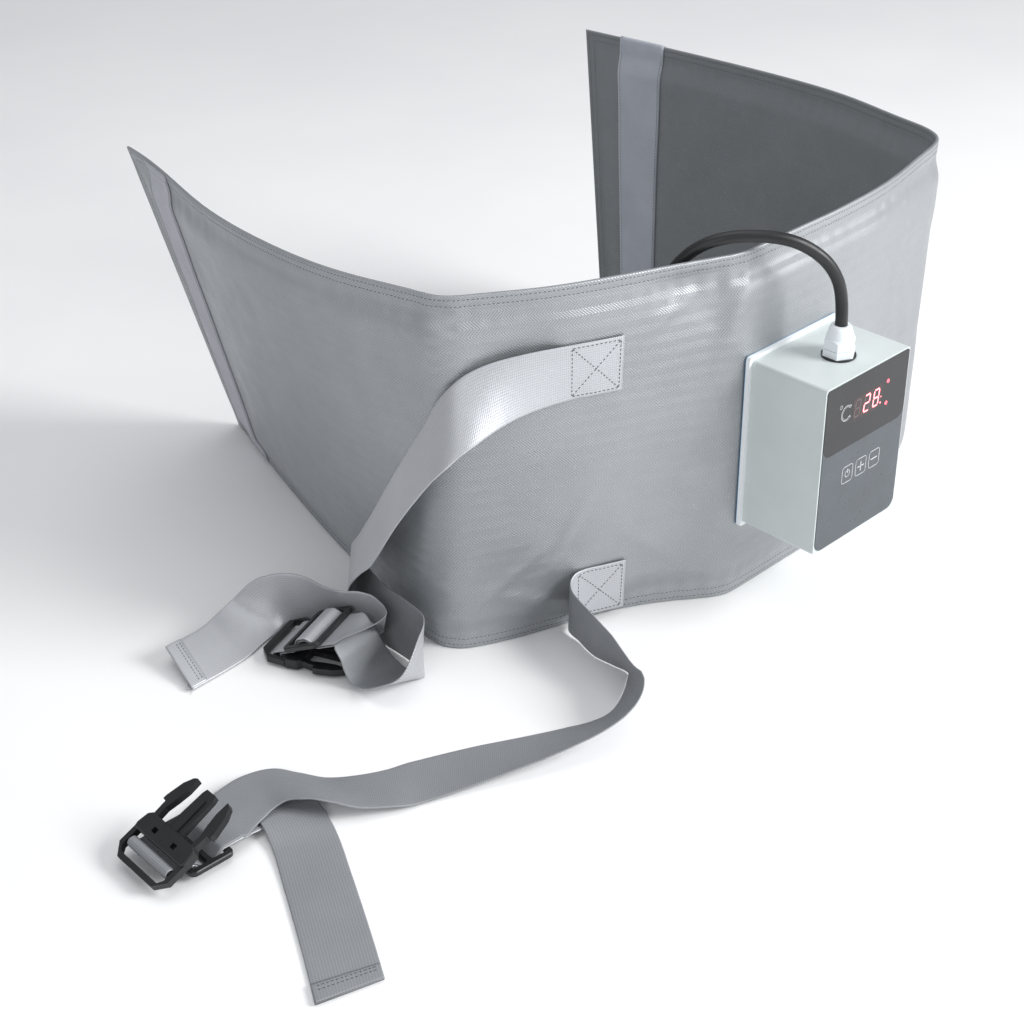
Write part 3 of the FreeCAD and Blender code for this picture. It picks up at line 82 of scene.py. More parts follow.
def tone(colour, share):
    """The colour, made darker or lighter by a share."""
    return [min(c * share, 1) for c in colour]


class Nodes:
    """Small helper to write a material's node tree."""

    def __init__(self, name, colour, roughness, **sockets):
        self.material = bpy.data.materials.new(name)
        self.material.use_nodes = True
        self.tree = self.material.node_tree
        self.shader = self.tree.nodes["Principled BSDF"]
        self.shader.inputs["Base Color"].default_value = (*colour, 1)
        self.shader.inputs["Roughness"].default_value = roughness
        for key, value in sockets.items():
            self.shader.inputs[key.replace("_", " ")].default_value = value
        self.coords = self.tree.nodes.new("ShaderNodeTexCoord")

    def add(self, kind, inputs, **settings):
        """New node. Its inputs take another node's output, a number or a colour."""
        node = self.tree.nodes.new("ShaderNode" + kind)
        for key, value in settings.items():
            setattr(node, key, value)
        for key, value in inputs.items():
            if isinstance(value, bpy.types.NodeSocket):
                self.tree.links.new(value, node.inputs[key])
            else:
                node.inputs[key].default_value = (*value, 1) if isinstance(value, (list, tuple)) else value
        return node

    def math(self, operation, a, b=0.0, c=0.0):
        return self.add("Math", {0: a, 1: b, 2: c}, operation=operation).outputs[0]

    def noise(self, scale, detail=3.0, roughness=0.55):
        place = self.coords.outputs["Object"]
        inputs = {"Vector": place, "Scale": scale, "Detail": detail, "Roughness": roughness}
        return self.add("TexNoise", inputs).outputs["Fac"]

    def spread(self, value, low, high, start=0.3, end=0.7):
        inputs = {"Value": value, "From Min": start, "From Max": end, "To Min": low, "To Max": high}
        return self.add("MapRange", inputs).outputs["Result"]

    def ramp(self, value, dark, light, start=0.3, end=0.7):
        """Colour that goes from dark to light while the value goes from start to end."""
        node = self.add("ValToRGB", {"Fac": value})
        for element, place, colour in zip(node.color_ramp.elements, (start, end), (dark, light)):
            element.position = place
            element.color = (*colour, 1)
        return node.outputs["Color"]

    def mix(self, share, a, b, blend="MIX"):
        return self.add("Mix", {0: share, 6: a, 7: b}, data_type="RGBA", blend_type=blend).outputs[2]

    def bump(self, height, strength, distance, under=None):
        inputs = {"Height": height, "Strength": strength, "Distance": distance}
        if under:
            inputs["Normal"] = under
        return self.add("Bump", inputs).outputs["Normal"]

    def link(self, value, socket):
        self.tree.links.new(value, self.shader.inputs[socket])


def moulded(name, colour, roughness, grain=2600.0, depth=0.00001, tint=0.02, **sockets):
    """Moulded plastic, rubber or metal: cloudy tint, fine grain and a roughness that varies."""
    m = Nodes(name, colour, roughness, **sockets)
    cloud = m.noise(24.0, 4.0)
    dark = [max(c * (1 - tint) - 0.002, 0) for c in colour]
    light = [min(c * (1 + tint) + 0.002, 1) for c in colour]
    m.link(m.ramp(cloud, dark, light, 0.32, 0.68), "Base Color")
    m.link(m.spread(m.noise(90.0, 5.0), max(roughness - 0.06, 0.05), min(roughness + 0.08, 1)), "Roughness")
    m.link(m.bump(m.noise(grain, 2.0), 0.35, depth), "Normal")
    return m.material


TWILL_PITCH, TWILL_STRIPE = 0.0024, 0.0058
WEB_RIB, WEB_YARN = 0.0016, 0.0021


def ripple(m, place, pitch):
    """Wave that repeats with the given pitch in metres."""
    return m.math("SINE", m.math("MULTIPLY", place, math.tau / pitch))


def zigzag(m):
    """Zigzag twill from the cloth's own coordinates in metres: 0 in the furrows and 1 on the ribs."""
    split = m.add("SeparateXYZ", {0: m.coords.outputs["UV"]})
    fold = m.math("PINGPONG", split.outputs[1], TWILL_STRIPE)
    wave = ripple(m, m.math("ADD", split.outputs[0], fold), TWILL_PITCH)
    cross = ripple(m, split.outputs[1], TWILL_PITCH * 0.55)
    return m.math("MULTIPLY_ADD", m.math("MULTIPLY_ADD", cross, 0.35, wave), 0.37, 0.5)


def coated_cloth(name, colour, roughness, metallic):
    """Glass cloth with a silver grey coating, in a fine zigzag twill."""
    m = Nodes(name, colour, roughness, Metallic=metallic)
    weave = zigzag(m)
    base = m.ramp(m.noise(7.0, 5.0), tone(colour, 0.9), tone(colour, 1.08))
    mixed = m.mix(0.5, base, m.mix(weave, tone(colour, 0.55), tone(colour, 1.32)))
    flecks = m.ramp(m.noise(900.0, 2.0), (0, 0, 0), (0.3, 0.3, 0.31), 0.62, 0.78)
    m.link(m.mix(0.55, mixed, flecks, "ADD"), "Base Color")
    m.link(m.spread(m.noise(42.0, 4.0), roughness - 0.06, roughness + 0.09), "Roughness")
    coarse = m.bump(m.noise(60.0, 3.0), 0.25, 0.0012)
    m.link(m.bump(weave, 0.7, 0.00026, coarse), "Normal")
    return m.material


def webbing(name, colour, roughness, metallic, contrast):
    """Woven webbing: cross ribs and lengthwise yarns, from the strap's own coordinates."""
    m = Nodes(name, colour, roughness, Metallic=metallic)
    split = m.add("SeparateXYZ", {0: m.coords.outputs["UV"]})
    ribs, yarns = ripple(m, split.outputs[0], WEB_RIB), ripple(m, split.outputs[1], WEB_YARN)
    weave = m.math("MULTIPLY_ADD", m.math("ADD", ribs, yarns), 0.24, 0.5)
    fuzz = m.noise(420.0)
    woven = m.mix(weave, tone(colour, 1 - contrast), tone(colour, 1 + contrast * 0.5))
    cloud = m.ramp(m.noise(16.0, 4.0), tone(colour, 0.88), tone(colour, 1.08))
    m.link(m.mix(0.4, woven, cloud), "Base Color")
    m.link(m.spread(fuzz, roughness - 0.05, roughness + 0.1), "Roughness")
    m.link(m.bump(weave, 0.5, 0.0002, m.bump(fuzz, 0.2, 0.0002)), "Normal")
    return m.material


def fuzzy_tape(name, colour, scale, depth):
    """Hook or loop tape: a field of tiny loops."""
    m = Nodes(name, colour, 0.85, Sheen_Weight=0.35, Sheen_Roughness=0.5)
    loops = m.add("TexVoronoi", {"Vector": m.coords.outputs["Object"], "Scale": scale}).outputs["Distance"]
    pile = m.mix(m.spread(loops, 1.0, 0.0, 0.05, 0.7), tone(colour, 0.72), tone(colour, 1.15))
    patches = m.ramp(m.noise(30.0, 5.0), tone(colour, 0.86), tone(colour, 1.1))
    m.link(m.mix(0.45, pile, patches), "Base Color")
    m.link(m.bump(loops, 0.8, depth, m.bump(m.noise(1500.0, 2.0), 0.3, 0.0002)), "Normal")
    return m.material


def lamp(name, colour, strength):
    """Lit plastic, brightest in the middle of its grain."""
    m = Nodes(name, tone(colour, 0.4), 0.4, Emission_Strength=strength)
    m.link(m.ramp(m.noise(300.0, 2.0), tone(colour, 0.85), colour), "Emission Color")
    return m.material


def felt(name, colour):
    m = Nodes(name, colour, 0.95, Sheen_Weight=0.2)
    fibres = m.noise(700.0, 6.0, roughness=0.7)
    m.link(m.ramp(fibres, tone(colour, 0.7), colour), "Base Color")
    m.link(m.bump(fibres, 0.7, 0.0008), "Normal")
    return m.material


MATERIALS = {
    "outer": coated_cloth("silver_cloth", (0.36, 0.375, 0.39), 0.42, 0.6),
    "inner": coated_cloth("silver_cloth_inside", (0.215, 0.227, 0.237), 0.6, 0.2),
    "front_web": webbing("webbing_front", (0.50, 0.51, 0.535), 0.42, 0.4, 0.34),
    # The reverse side's darker webbing colour is painted shade: both faces of the strap are the same silver satin.
    "back_web": webbing("webbing_reverse_painted_shade", (0.27, 0.28, 0.295), 0.55, 0.2, 0.36),
    "hook": fuzzy_tape("hook_tape_field", (0.50, 0.505, 0.56), 1500.0, 0.0006),
    "loop": fuzzy_tape("loop_tape_field", (0.46, 0.49, 0.55), 2300.0, 0.0003),
    "thread": moulded("sewing_thread", (0.07, 0.075, 0.08), 0.7, 4000.0, 0.00005, 0.05),
    "case": moulded("grey_case_plastic", (0.56, 0.605, 0.60), 0.34, 3000.0, 0.000012),
    "white": moulded("white_plate_plastic", (0.84, 0.87, 0.89), 0.35),
    "film": moulded("light_blue_film", (0.22, 0.52, 0.80), 0.3, tint=0.05),
    "nylon": moulded("white_nylon", (0.80, 0.84, 0.87), 0.32),
    "rubber": moulded("black_rubber", (0.010, 0.0105, 0.0115), 0.42, 1800.0, 0.00003, 0.2),
    "acetal": moulded("black_acetal", (0.011, 0.0115, 0.013), 0.36, 1500.0, 0.00003, 0.15),
    "overlay": moulded("blue_grey_print", (0.060, 0.071, 0.082), 0.3, 3200.0, 0.00001, 0.06),
    "black_print": moulded("black_print", (0.007, 0.007, 0.009), 0.2, 3200.0, 0.000006, 0.1),
    "window": moulded("display_window", (0.028, 0.012, 0.013), 0.12, 3200.0, 0.000004, 0.1),
    "light_print": moulded("light_grey_print", (0.55, 0.56, 0.58), 0.4, tint=0.03),
    "unlit": moulded("unlit_segment", (0.10, 0.075, 0.078), 0.3, tint=0.05),
    "lit": lamp("lit_segment", (1.0, 0.20, 0.22), 5.0),
    "lit_led": lamp("lit_lamp", (1.0, 0.10, 0.14), 3.0),
    "steel": moulded("zinc_steel", (0.62, 0.62, 0.60), 0.32, 1500.0, 0.00002, 0.06, Metallic=0.95),
    "brass": moulded("nickel_pins", (0.70, 0.68, 0.60), 0.25, 1500.0, 0.00001, 0.05, Metallic=1.0),
    "board": moulded("green_board", (0.03, 0.16, 0.07), 0.45, 900.0, 0.00003, 0.15),
    "relay": moulded("blue_relay", (0.02, 0.09, 0.32), 0.4, 1500.0, 0.00002, 0.08),
    "terminal": moulded("green_terminal", (0.04, 0.26, 0.12), 0.45, 1500.0, 0.00002, 0.08),
    "silicone": moulded("silicone_wire", (0.45, 0.10, 0.06), 0.55, 1500.0, 0.00003, 0.1),
    "felt": felt("insulation_felt_fibre", (0.55, 0.53, 0.47)),
}

KEPT_SOLIDS = {
    "case": "front_shell rear_shell",
    "steel": "case_screws board_screws mount_screws mount_nuts backing_plate temperature_sensor",
    "white": "mounting_plate",
    "film": "plate_film",
    "rubber": "lead_grommet gland_washer gland_seal mains_plug",
    "silicone": "heater_leads heating_wire",
    "board": "circuit_board",
    "window": "display_module",
    "lit_led": "indicator_leds",
    "relay": "relay",
    "terminal": "terminal_block",
    "overlay": "front_overlay",
    "nylon": "gland_body gland_nut gland_lock_nut",
    "brass": "plug_pins",
    "acetal": "key_switches power_key plus_key minus_key upper_slider lower_slider upper_strap_buckle"
              " lower_strap_buckle upper_socket_buckle lower_socket_buckle",
}


def finish_solids():
    for finish, names in KEPT_SOLIDS.items():
        for name in names.split():
            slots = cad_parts[name].data.materials
            slots.clear()
            slots.append(MATERIALS[finish])


# Mesh helpers

def make_piece(name, verts, faces, finishes, uv=None, indices=None, smooth=True):
    """Piece of the belt's body, from points in metres. Its slots take the named finishes in turn."""
    mesh = bpy.data.meshes.new(name)
    mesh.from_pydata([tuple(v) for v in verts], [], [tuple(int(i) for i in f) for f in faces])
    if uv is not None:
        layer = mesh.uv_layers.new(name="UVMap")
        loops = np.zeros(len(mesh.loops), np.int32)
        mesh.loops.foreach_get("vertex_index", loops)
        layer.data.foreach_set("uv", np.asarray(uv, np.float32)[loops].ravel())
    for finish in finishes.split():
        mesh.materials.append(MATERIALS[finish])
    if indices is not None:
        mesh.polygons.foreach_set("material_index", np.asarray(indices, np.int32))
    if smooth:
        mesh.shade_smooth()
    piece = add_object(name, mesh)
    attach(piece, "belt")
    return piece


def thicken(piece, millimetres):
    """Give a sheet its thickness, inwards from the face that shows."""
    shell = piece.modifiers.new("thickness", "SOLIDIFY")
    shell.thickness, shell.offset = millimetres / 1000, -1


def between(place, places, values):
    """Values that belong to a place along a line, from those at its known places."""
    return np.array([np.interp(place, places, values[:, i]) for i in range(3)])


def grid_faces(rows, columns, flip):
    """Quads of a grid of points that lie row by row."""
    index = np.arange(rows * columns).reshape(rows, columns)
    quads = np.stack([index[:-1, :-1], index[1:, :-1], index[1:, 1:], index[:-1, 1:]], -1).reshape(-1, 4)
    return quads[:, ::-1] if flip else quads


# Jacket

HEIGHT, CLOTH, FELT, WIRE_LAYER, GAP = 317.0, 1.0, 5.0, 3.2, 0.4
HALF_BODY = (CLOTH * 2 + FELT + WIRE_LAYER + GAP * 3) / 2
PANEL_Y = 77.25
HEM, HEM_RAMP = 12.0, 24.0
STITCH_ROWS = (3.6, 9.0)
TAPE, TAPE_FROM_END = 48.0, 38.0
PLATE_X, PLATE_Z = (-4.0, 114.0), (70.0, 230.0)
FELT_INSET, FELT_WINDOW_X, FELT_WINDOW_Z = 24.0, (5.0, 105.0), (81.0, 219.0)
GRID, WAVES = 3.7, 14
FRONT_STATIONS = (7, 21)
LOWER_LINE = [
    (-109, 623), (-131, 555), (-162, 455), (-190, 352), (-213, 262), (-224, 213), (-219, 192),
    (-201, 178), (-139, 154), (-84, 134), (-38, 107), (-17, 91.5), (-4, 84.6), (10, 83.1), (33, 83),
    (56, 83), (80, 83), (102, 83.1), (118, 83.8), (190, 93),
    (250, 104), (275, 107), (287, 121), (303, 165), (325, 230), (336, 310), (339, 400), (336, 480),
    (330, 538),
]
UPPER_LINE = [
    (-202, 617), (-214, 553), (-238, 460), (-249, 362), (-242, 268), (-228, 213), (-221, 192),
    (-203, 177), (-150, 144), (-88, 117), (-40, 97.5), (-17, 88), (-4, 84.2), (10, 83.1), (33, 83),
    (56, 83), (80, 83), (102, 83.1), (118, 83.6), (196, 91),
    (268, 107), (304, 119), (315, 132), (325, 170), (338, 232), (343, 300), (339, 390), (331, 480),
    (322, 559),
]


def station_distances():
    steps = [np.linalg.norm(np.diff(np.array(line, float), axis=0), axis=1) for line in (LOWER_LINE, UPPER_LINE)]
    return np.concatenate([[0], np.cumsum((steps[0] + steps[1]) / 2)])


STATIONS = station_distances()
LENGTH = STATIONS[-1]


def hermite(t):
    """Shares of the first place, its slope, the second place and its slope along a smooth stretch."""
    return 2 * t**3 - 3 * t**2 + 1, t**3 - 2 * t**2 + t, 3 * t**2 - 2 * t**3, t**3 - t**2


class PlanCurve:
    """Smooth curve through a plan line, with its front on the mounting plate."""

    def __init__(self, line):
        self.points = np.array(line, float)
        t, p, n = STATIONS, self.points, len(line)
        h = np.diff(t)[:, None]
        secant = np.diff(p, axis=0) / h
        system, known = np.zeros((n, n)), np.zeros((n, 2))
        system[0, 0] = system[-1, -1] = 1
        known[0] = np.polyfit(t[:4] - t[0], p[:4], 3)[-2]
        known[-1] = np.polyfit(t[-4:] - t[-1], p[-4:], 3)[-2]
        for i in range(1, n - 1):
            system[i, i - 1:i + 2] = h[i, 0], 2 * (h[i - 1, 0] + h[i, 0]), h[i - 1, 0]
            known[i] = 3 * (h[i] * secant[i - 1] + h[i - 1] * secant[i])
        self.slopes = np.linalg.solve(system, known)
        front = self.at(LENGTH * np.arange(300, 700) / 1000)[0][:, 1].min()
        self.points[:, 1] += PANEL_Y + HALF_BODY - front

    def at(self, u):
        u = np.asarray(u, float)
        i = np.clip(np.searchsorted(STATIONS, u, side="right") - 1, 0, len(STATIONS) - 2)
        h = (STATIONS[i + 1] - STATIONS[i])[..., None]
        s = ((u - STATIONS[i])[..., None]) / h
        p0, p1, m0, m1 = self.points[i], self.points[i + 1], self.slopes[i] * h, self.slopes[i + 1] * h
        place = sum(value * share for value, share in zip((p0, m0, p1, m1), hermite(s)))
        way = (p0 - p1) * (6 * s**2 - 6 * s) + m0 * (3 * s**2 - 4 * s + 1) + m1 * (3 * s**2 - 2 * s)
        return place, unit(way)


LOWER_CURVE, UPPER_CURVE = PlanCurve(LOWER_LINE), PlanCurve(UPPER_LINE)


def jacket_points(u, z, off=0.0):
    """Points of the jacket, in drawing millimetres: distance along it, height, and offset out of its middle."""
    u, z, off = np.broadcast_arrays(np.asarray(u, float), np.asarray(z, float), np.asarray(off, float))
    share = (z / HEIGHT)[..., None]
    (low, low_way), (high, high_way) = LOWER_CURVE.at(u), UPPER_CURVE.at(u)
    middle = low * (1 - share) + high * share
    way = unit(low_way * (1 - share) + high_way * share)
    out = np.stack([way[..., 1], -way[..., 0]], -1)
    return np.concatenate([middle + out * off[..., None], z[..., None]], -1)


def smoothstep(x):
    x = np.clip(x, 0, 1)
    return x * x * (3 - 2 * x)


def edge_distance(u, z):
    return np.minimum(np.minimum(z, HEIGHT - z), np.minimum(u, LENGTH - u))


def fullness(u, z):
    return smoothstep((edge_distance(u, z) - HEM) / HEM_RAMP)


def face_offset(u, z):
    return GAP / 2 + fullness(u, z) * (HALF_BODY - CLOTH - GAP / 2) + CLOTH


def u_at(x):
    """Distance along the jacket where the top edge of its front passes a given x."""
    front = slice(*FRONT_STATIONS)
    return float(np.interp(x, [p[0] for p in UPPER_LINE[front]], STATIONS[front]))


def on_front(u):
    first, last = FRONT_STATIONS
    return (u > STATIONS[first]) & (u < STATIONS[last])


def outside_of(place, limits):
    """Distance out of a range, negative inside it."""
    return np.maximum(limits[0] - place, place - limits[1])


def waves(u, z, seed, size):
    """Gentle undulation made of a few crossed waves, about 1 high, repeatable."""
    rng = np.random.default_rng(seed)
    total = np.zeros(np.broadcast(u, z).shape)
    for _ in range(WAVES):
        angle, phase, stretch = rng.uniform(0, math.pi), rng.uniform(0, math.tau), rng.uniform(0.7, 1.6)
        k = math.tau / (size * stretch)
        total += np.sin((u * math.cos(angle) + z * math.sin(angle)) * k + phase)
    return total / math.sqrt(WAVES)


def blob(u, z, at, spread):
    return np.exp(-(((u - at[0]) / spread[0]) ** 2) - ((z - at[1]) / spread[1]) ** 2)


PATCHES = {"upper": (579.0, 536.0, 244.5), "lower": (592.0, 549.0, 31.5)}
CORD_CROSSING = u_at(-32)
LOWER_PATCH = (PATCHES["lower"][0] + PATCHES["lower"][1]) / 2
DENTS = [  # depth, place along and up, spread along and up
    (5.4, (CORD_CROSSING - 18, 292), (26, 22)), (3.8, (CORD_CROSSING + 6, 270), (16, 30)),
    (3.2, (LOWER_PATCH + 62, 40), (30, 26)), (2.0, (LOWER_PATCH - 40, 66), (22, 34)),
    (2.2, (PATCHES["upper"][1] - 34, 262), (24, 30)),
]
FOLDS = [  # place along and up, tilt in degrees, width, reach and height
    (480, 60, 34, 5, 62, 1.3), (505, 38, -18, 5, 70, 1.5), (532, 84, 62, 6, 58, 1.1), (620, 60, -40, 6, 46, 1.0),
    (505, 250, 22, 6, 56, 1.1), (CORD_CROSSING - 30, 280, 28, 6, 42, 1.6),
    (CORD_CROSSING + 22, 262, 74, 7, 38, 1.3), (CORD_CROSSING - 62, 300, -12, 6, 44, 0.9),
    (906, 240, 82, 8, 70, 0.8), (944, 150, 95, 9, 96, 0.8), (424, 170, 85, 9, 100, 0.8),
]
PUCKER_PITCH, PUCKER_FROM_EDGE, PUCKER_SPREAD = 17, 17, 12.0
SWELL, PUCKER, CREASE, DEEPEST_DENT = 0.9, 0.9, 1.35, 5.6
STEP_HEIGHT, GROOVE_DEPTHS, GROOVE_WIDTHS = 0.5, (0.35, 0.45), (1.1, 1.2)


def held_flat(u, z):
    """0 where the plate or a sewn strap holds the cloth flat, 1 elsewhere."""
    beside = np.maximum(outside_of(jacket_points(u, z)[..., 0], PLATE_X), outside_of(z, PLATE_Z))
    free = np.where(on_front(u), smoothstep(beside / 30), 1.0)
    for first, last, height in PATCHES.values():
        beside = np.maximum(np.abs(u - (first + last) / 2) - 24, np.abs(z - height) - 26)
        free = free * smoothstep((beside + 2) / 16)
    for u0 in (TAPE_FROM_END + TAPE / 2, LENGTH - TAPE_FROM_END - TAPE / 2):
        free = free * (0.35 + 0.65 * smoothstep((np.abs(u - u0) - TAPE / 2) / 20))
    return free


def sway(u, z):
    """Where the whole jacket is pushed in or bowed, the same for both cloths."""
    push = -sum(depth * blob(u, z, at, spread) for depth, at, spread in DENTS)
    push += -1.1 * (0.5 + 0.5 * np.tanh(waves(u, z, 3, 170)))
    return np.clip(push, -DEEPEST_DENT, 0.6) * held_flat(u, z) * smoothstep(edge_distance(u, z) / 18)


def puckers(u, z, seed):
    """Short wrinkles that a sewn hem pulls into the padding next to it."""
    edge = np.minimum(z, HEIGHT - z)
    near = np.exp(-(((edge - PUCKER_FROM_EDGE) / PUCKER_SPREAD) ** 2))
    wrinkle = np.sin(u * math.tau / PUCKER_PITCH + 2.2 * waves(u, z * 0, seed, 70))
    return near * wrinkle * (0.5 + 0.5 * np.tanh(waves(u, z * 0, seed + 1, 110)))


def creases(u, z):
    """A few long folds of the front: fans from the sewn straps and the cable's crossing."""
    total = np.zeros(np.broadcast(u, z).shape)
    for u0, z0, tilt, width, reach, height in FOLDS:
        c, s = math.cos(math.radians(tilt)), math.sin(math.radians(tilt))
        along, across = (u - u0) * c + (z - z0) * s, -(u - u0) * s + (z - z0) * c
        total += height * np.exp(-((across / width) ** 2) - (along / reach) ** 2)
    return total


def hem_relief(u, z):
    """Folded hem: a low step at its inner edge and grooves along its two rows of stitches."""
    edge = edge_distance(u, z)
    relief = STEP_HEIGHT * (1 - smoothstep((edge - HEM + 1.5) / 2.0))
    for at, depth, width in zip(STITCH_ROWS, GROOVE_DEPTHS, GROOVE_WIDTHS):
        relief = relief - depth * np.exp(-(((edge - at) / width) ** 2))
    return relief


def outer_offset(u, z):
    free = held_flat(u, z)
    full = fullness(u, z)
    swell = SWELL * full * np.tanh(waves(u, z, 11, 95)) + PUCKER * puckers(u, z, 21)
    swell = swell + CREASE * creases(u, z) * full
    return face_offset(u, z) + sway(u, z) + free * np.maximum(swell, -0.6) + hem_relief(u, z) * free


def inner_offset(u, z):
    full = fullness(u, z)
    swell = SWELL * full * np.tanh(waves(u, z, 31, 120)) + PUCKER * puckers(u, z, 41)
    return -face_offset(u, z) + sway(u, z) - np.maximum(swell, -0.3) - hem_relief(u, z)


def jacket_marks(length):
    """Grid places along a side of the jacket, close together over its hems."""
    edge = [0.0, 0.4, 1.0, 2.2, 3.6, 5.0, 7.5, 9.0, 10.4, 12.0, 14.0]
    middle = np.linspace(edge[-1], length - edge[-1], int((length - 2 * edge[-1]) / GRID) + 1)
    return np.concatenate([edge[:-1], middle, [length - e for e in reversed(edge[:-1])]])


def cloth_skin(name, node, offset, finish, sign):
    """One cloth of the jacket as a smooth sheet that rounds over at the hem."""
    u, z = np.meshgrid(jacket_marks(LENGTH), jacket_marks(HEIGHT), indexing="ij")
    edge = edge_distance(u, z)
    rounding = np.sqrt(1 - (1 - np.clip(edge / 1.6, 0, 1)) ** 2)
    off = offset(u, z)
    off = sign * 0.15 + (off - sign * 0.15) * rounding
    points = row(jacket_points(u, z, off)).reshape(-1, 3)
    faces = grid_faces(*u.shape, flip=sign < 0)
    piece = make_piece(name, points, faces, finish, uv=np.stack([u, z], -1).reshape(-1, 2) / 1000)
    thicken(piece, 0.7)
    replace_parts(piece, node)


def felt_pad():
    """Insulation felt between the cloths: it follows them, and leaves room for the metal plate."""
    u, z = np.meshgrid(
        np.linspace(FELT_INSET, LENGTH - FELT_INSET, 190), np.linspace(FELT_INSET, HEIGHT - FELT_INSET, 48),
        indexing="ij")
    outside = face_offset(u, z) - CLOTH - GAP + sway(u, z) - 0.7
    inside = outside - (FELT - 0.7) * fullness(u, z)
    middle = jacket_points(u, z)
    x = (middle[:-1, :-1, 0] + middle[1:, 1:, 0]) / 2
    height = (z[:-1, :-1] + z[1:, 1:]) / 2
    in_window = (outside_of(x, FELT_WINDOW_X) < 0) & (outside_of(height, FELT_WINDOW_Z) < 0)
    kept = ~(on_front(u[:-1, :-1]) & in_window)
    points = np.concatenate([jacket_points(u, z, face).reshape(-1, 3) for face in (outside, inside)])
    count = u.size
    index = np.arange(count).reshape(u.shape)
    room = np.pad(kept, 1)
    faces = []
    for i, k in zip(*np.nonzero(kept)):
        a, b, c, d = index[i, k], index[i + 1, k], index[i + 1, k + 1], index[i, k + 1]
        faces += [(a, b, c, d), (d + count, c + count, b + count, a + count)]
        for free, p, q in (
            (room[i + 1, k], b, a), (room[i + 2, k + 1], c, b), (room[i + 1, k + 2], d, c), (room[i, k + 1], a, d),
        ):
            if not free:
                faces.append((p, q, q + count, p + count))
    piece = make_piece("insulation_pad", row(points), faces, "felt")
    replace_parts(piece, "insulation_felt")


# Stitches

STITCH_FILL, THREAD_LIFT = 0.72, 0.05  # share of the pitch that the thread covers, height over the cloth


class Thread:
    """Collects short stitches and makes one piece of them."""

    def __init__(self, name, finish="thread"):
        self.name, self.finish, self.verts, self.faces = name, finish, [], []

    def stitch(self, a, b, up, width=0.55, height=0.3):
        """One stitch from a to b, in metres of the row frame, lying on a surface whose normal is up."""
        along = unit(b - a)
        side = unit(np.cross(along, up)) * width / 2000
        up = unit(up) * height / 1000
        start, base = a + (b - a) * 0.25, len(self.verts)
        end = a + (b - a) * 0.75
        self.verts += [a - up * 0.5, start + side, start + up, start - side]
        self.verts += [end + side, end + up, end - side, b - up * 0.5]
        ends = [(0, 1, 2), (0, 2, 3), (0, 3, 1), (4, 7, 5), (5, 7, 6), (4, 6, 7)]
        for f in ends + [(1, 4, 5, 2), (2, 5, 6, 3), (1, 3, 6, 4)]:
            self.faces.append([base + i for i in f])

    def line(self, points, ups, pitch=3.6, width=0.55, height=0.3):
        """Stitches along a line of points in metres."""
        points, ups = np.asarray(points, float), np.asarray(ups, float)
        steps = np.linalg.norm(np.diff(points, axis=0), axis=1)
        along = np.concatenate([[0], np.cumsum(steps)]) * 1000
        count = max(1, int(along[-1] / pitch))
        for k in range(count):
            s0, s1 = [(k + 0.5 + end * STITCH_FILL / 2) * along[-1] / count for end in (-1, 1)]
            ends, up = [between(s, along, points) for s in (s0, s1)], between((s0 + s1) / 2, along, ups)
            self.stitch(*ends, up, width, height)

    def make(self):
        make_piece(self.name, self.verts, self.faces, self.finish)


def jacket_line(thread, us, zs, offset, sign, **look):
    """Stitches along a line on one cloth of the jacket."""
    us, zs = np.broadcast_arrays(np.asarray(us, float), np.asarray(zs, float))
    off = offset(us, zs)
    points = row(jacket_points(us, zs, off + sign * THREAD_LIFT))
    ups = unit(row(jacket_points(us, zs, off + sign)) - points)
    thread.line(points, ups, **look)


def hem_stitches(name, offset, sign):
    thread = Thread(name)
    for edge in STITCH_ROWS:
        us = np.arange(edge, LENGTH - edge, 3.0)
        zs = np.arange(edge, HEIGHT - edge, 3.0)
        for z in (edge, HEIGHT - edge):
            jacket_line(thread, us, z, offset, sign)
        for u in (edge, LENGTH - edge):
            jacket_line(thread, u, zs, offset, sign)
    thread.make()


# Heights and offsets of a tape's end that turns over the top hem
TURNED_OVER = [(315.5, 2.6), (317.6, 1.9), (318.5, 0.0), (317.6, -1.9), (314.0, -2.8), (305.0, -2.8)]


def closure_tape(name, node, u0, offset, sign, finish, folded):
    """Hook or loop tape on a cloth; the folded one turns over the top hem."""
    us = np.linspace(u0, u0 + TAPE, 15)
    zs = np.concatenate([[2.0, 3.0], np.arange(6.0, 314.0, 4.0), [315.0]])
    lifts = np.full(len(zs), 0.55)
    lifts[0], lifts[-1] = 0.1, 0.1
    if folded:
        zs, lifts = zs[:-1], lifts[:-1]
    u, z = np.meshgrid(us, zs, indexing="ij")
    off = offset(u, z) + sign * (lifts + 0.9)
    points = jacket_points(u, z, off)
    if folded:
        heights, offsets = np.array(TURNED_OVER).T
        over = jacket_points(us[:, None], np.minimum(heights, HEIGHT), offsets * sign)
        over[..., 2] = heights
        points = np.concatenate([points, over], axis=1)
    rows, columns = points.shape[:2]
    lengths = np.concatenate([[0], np.cumsum(np.linalg.norm(np.diff(points[0], axis=0), axis=1))])
    uv = np.stack(np.broadcast_arrays(us[:, None], lengths[None, :]), -1).reshape(-1, 2) / 1000
    piece = make_piece(name, row(points).reshape(-1, 3), grid_faces(rows, columns, flip=sign < 0), finish, uv=uv)
    thicken(piece, 1.2)
    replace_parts(piece, node)
    thread = Thread(name + "_stitches")
    zs = np.arange(4.0, 313.0, 3.0)

    def face(u, z):
        return offset(u, z) + sign * 1.5

    for u in (u0 + 2.2, u0 + TAPE - 2.2):
        jacket_line(thread, u, zs, face, sign, pitch=3.2)
    for z in (6.0, 308.0):
        jacket_line(thread, np.arange(u0 + 3, u0 + TAPE - 3, 3.0), z, face, sign)
    thread.make()


# Webbing

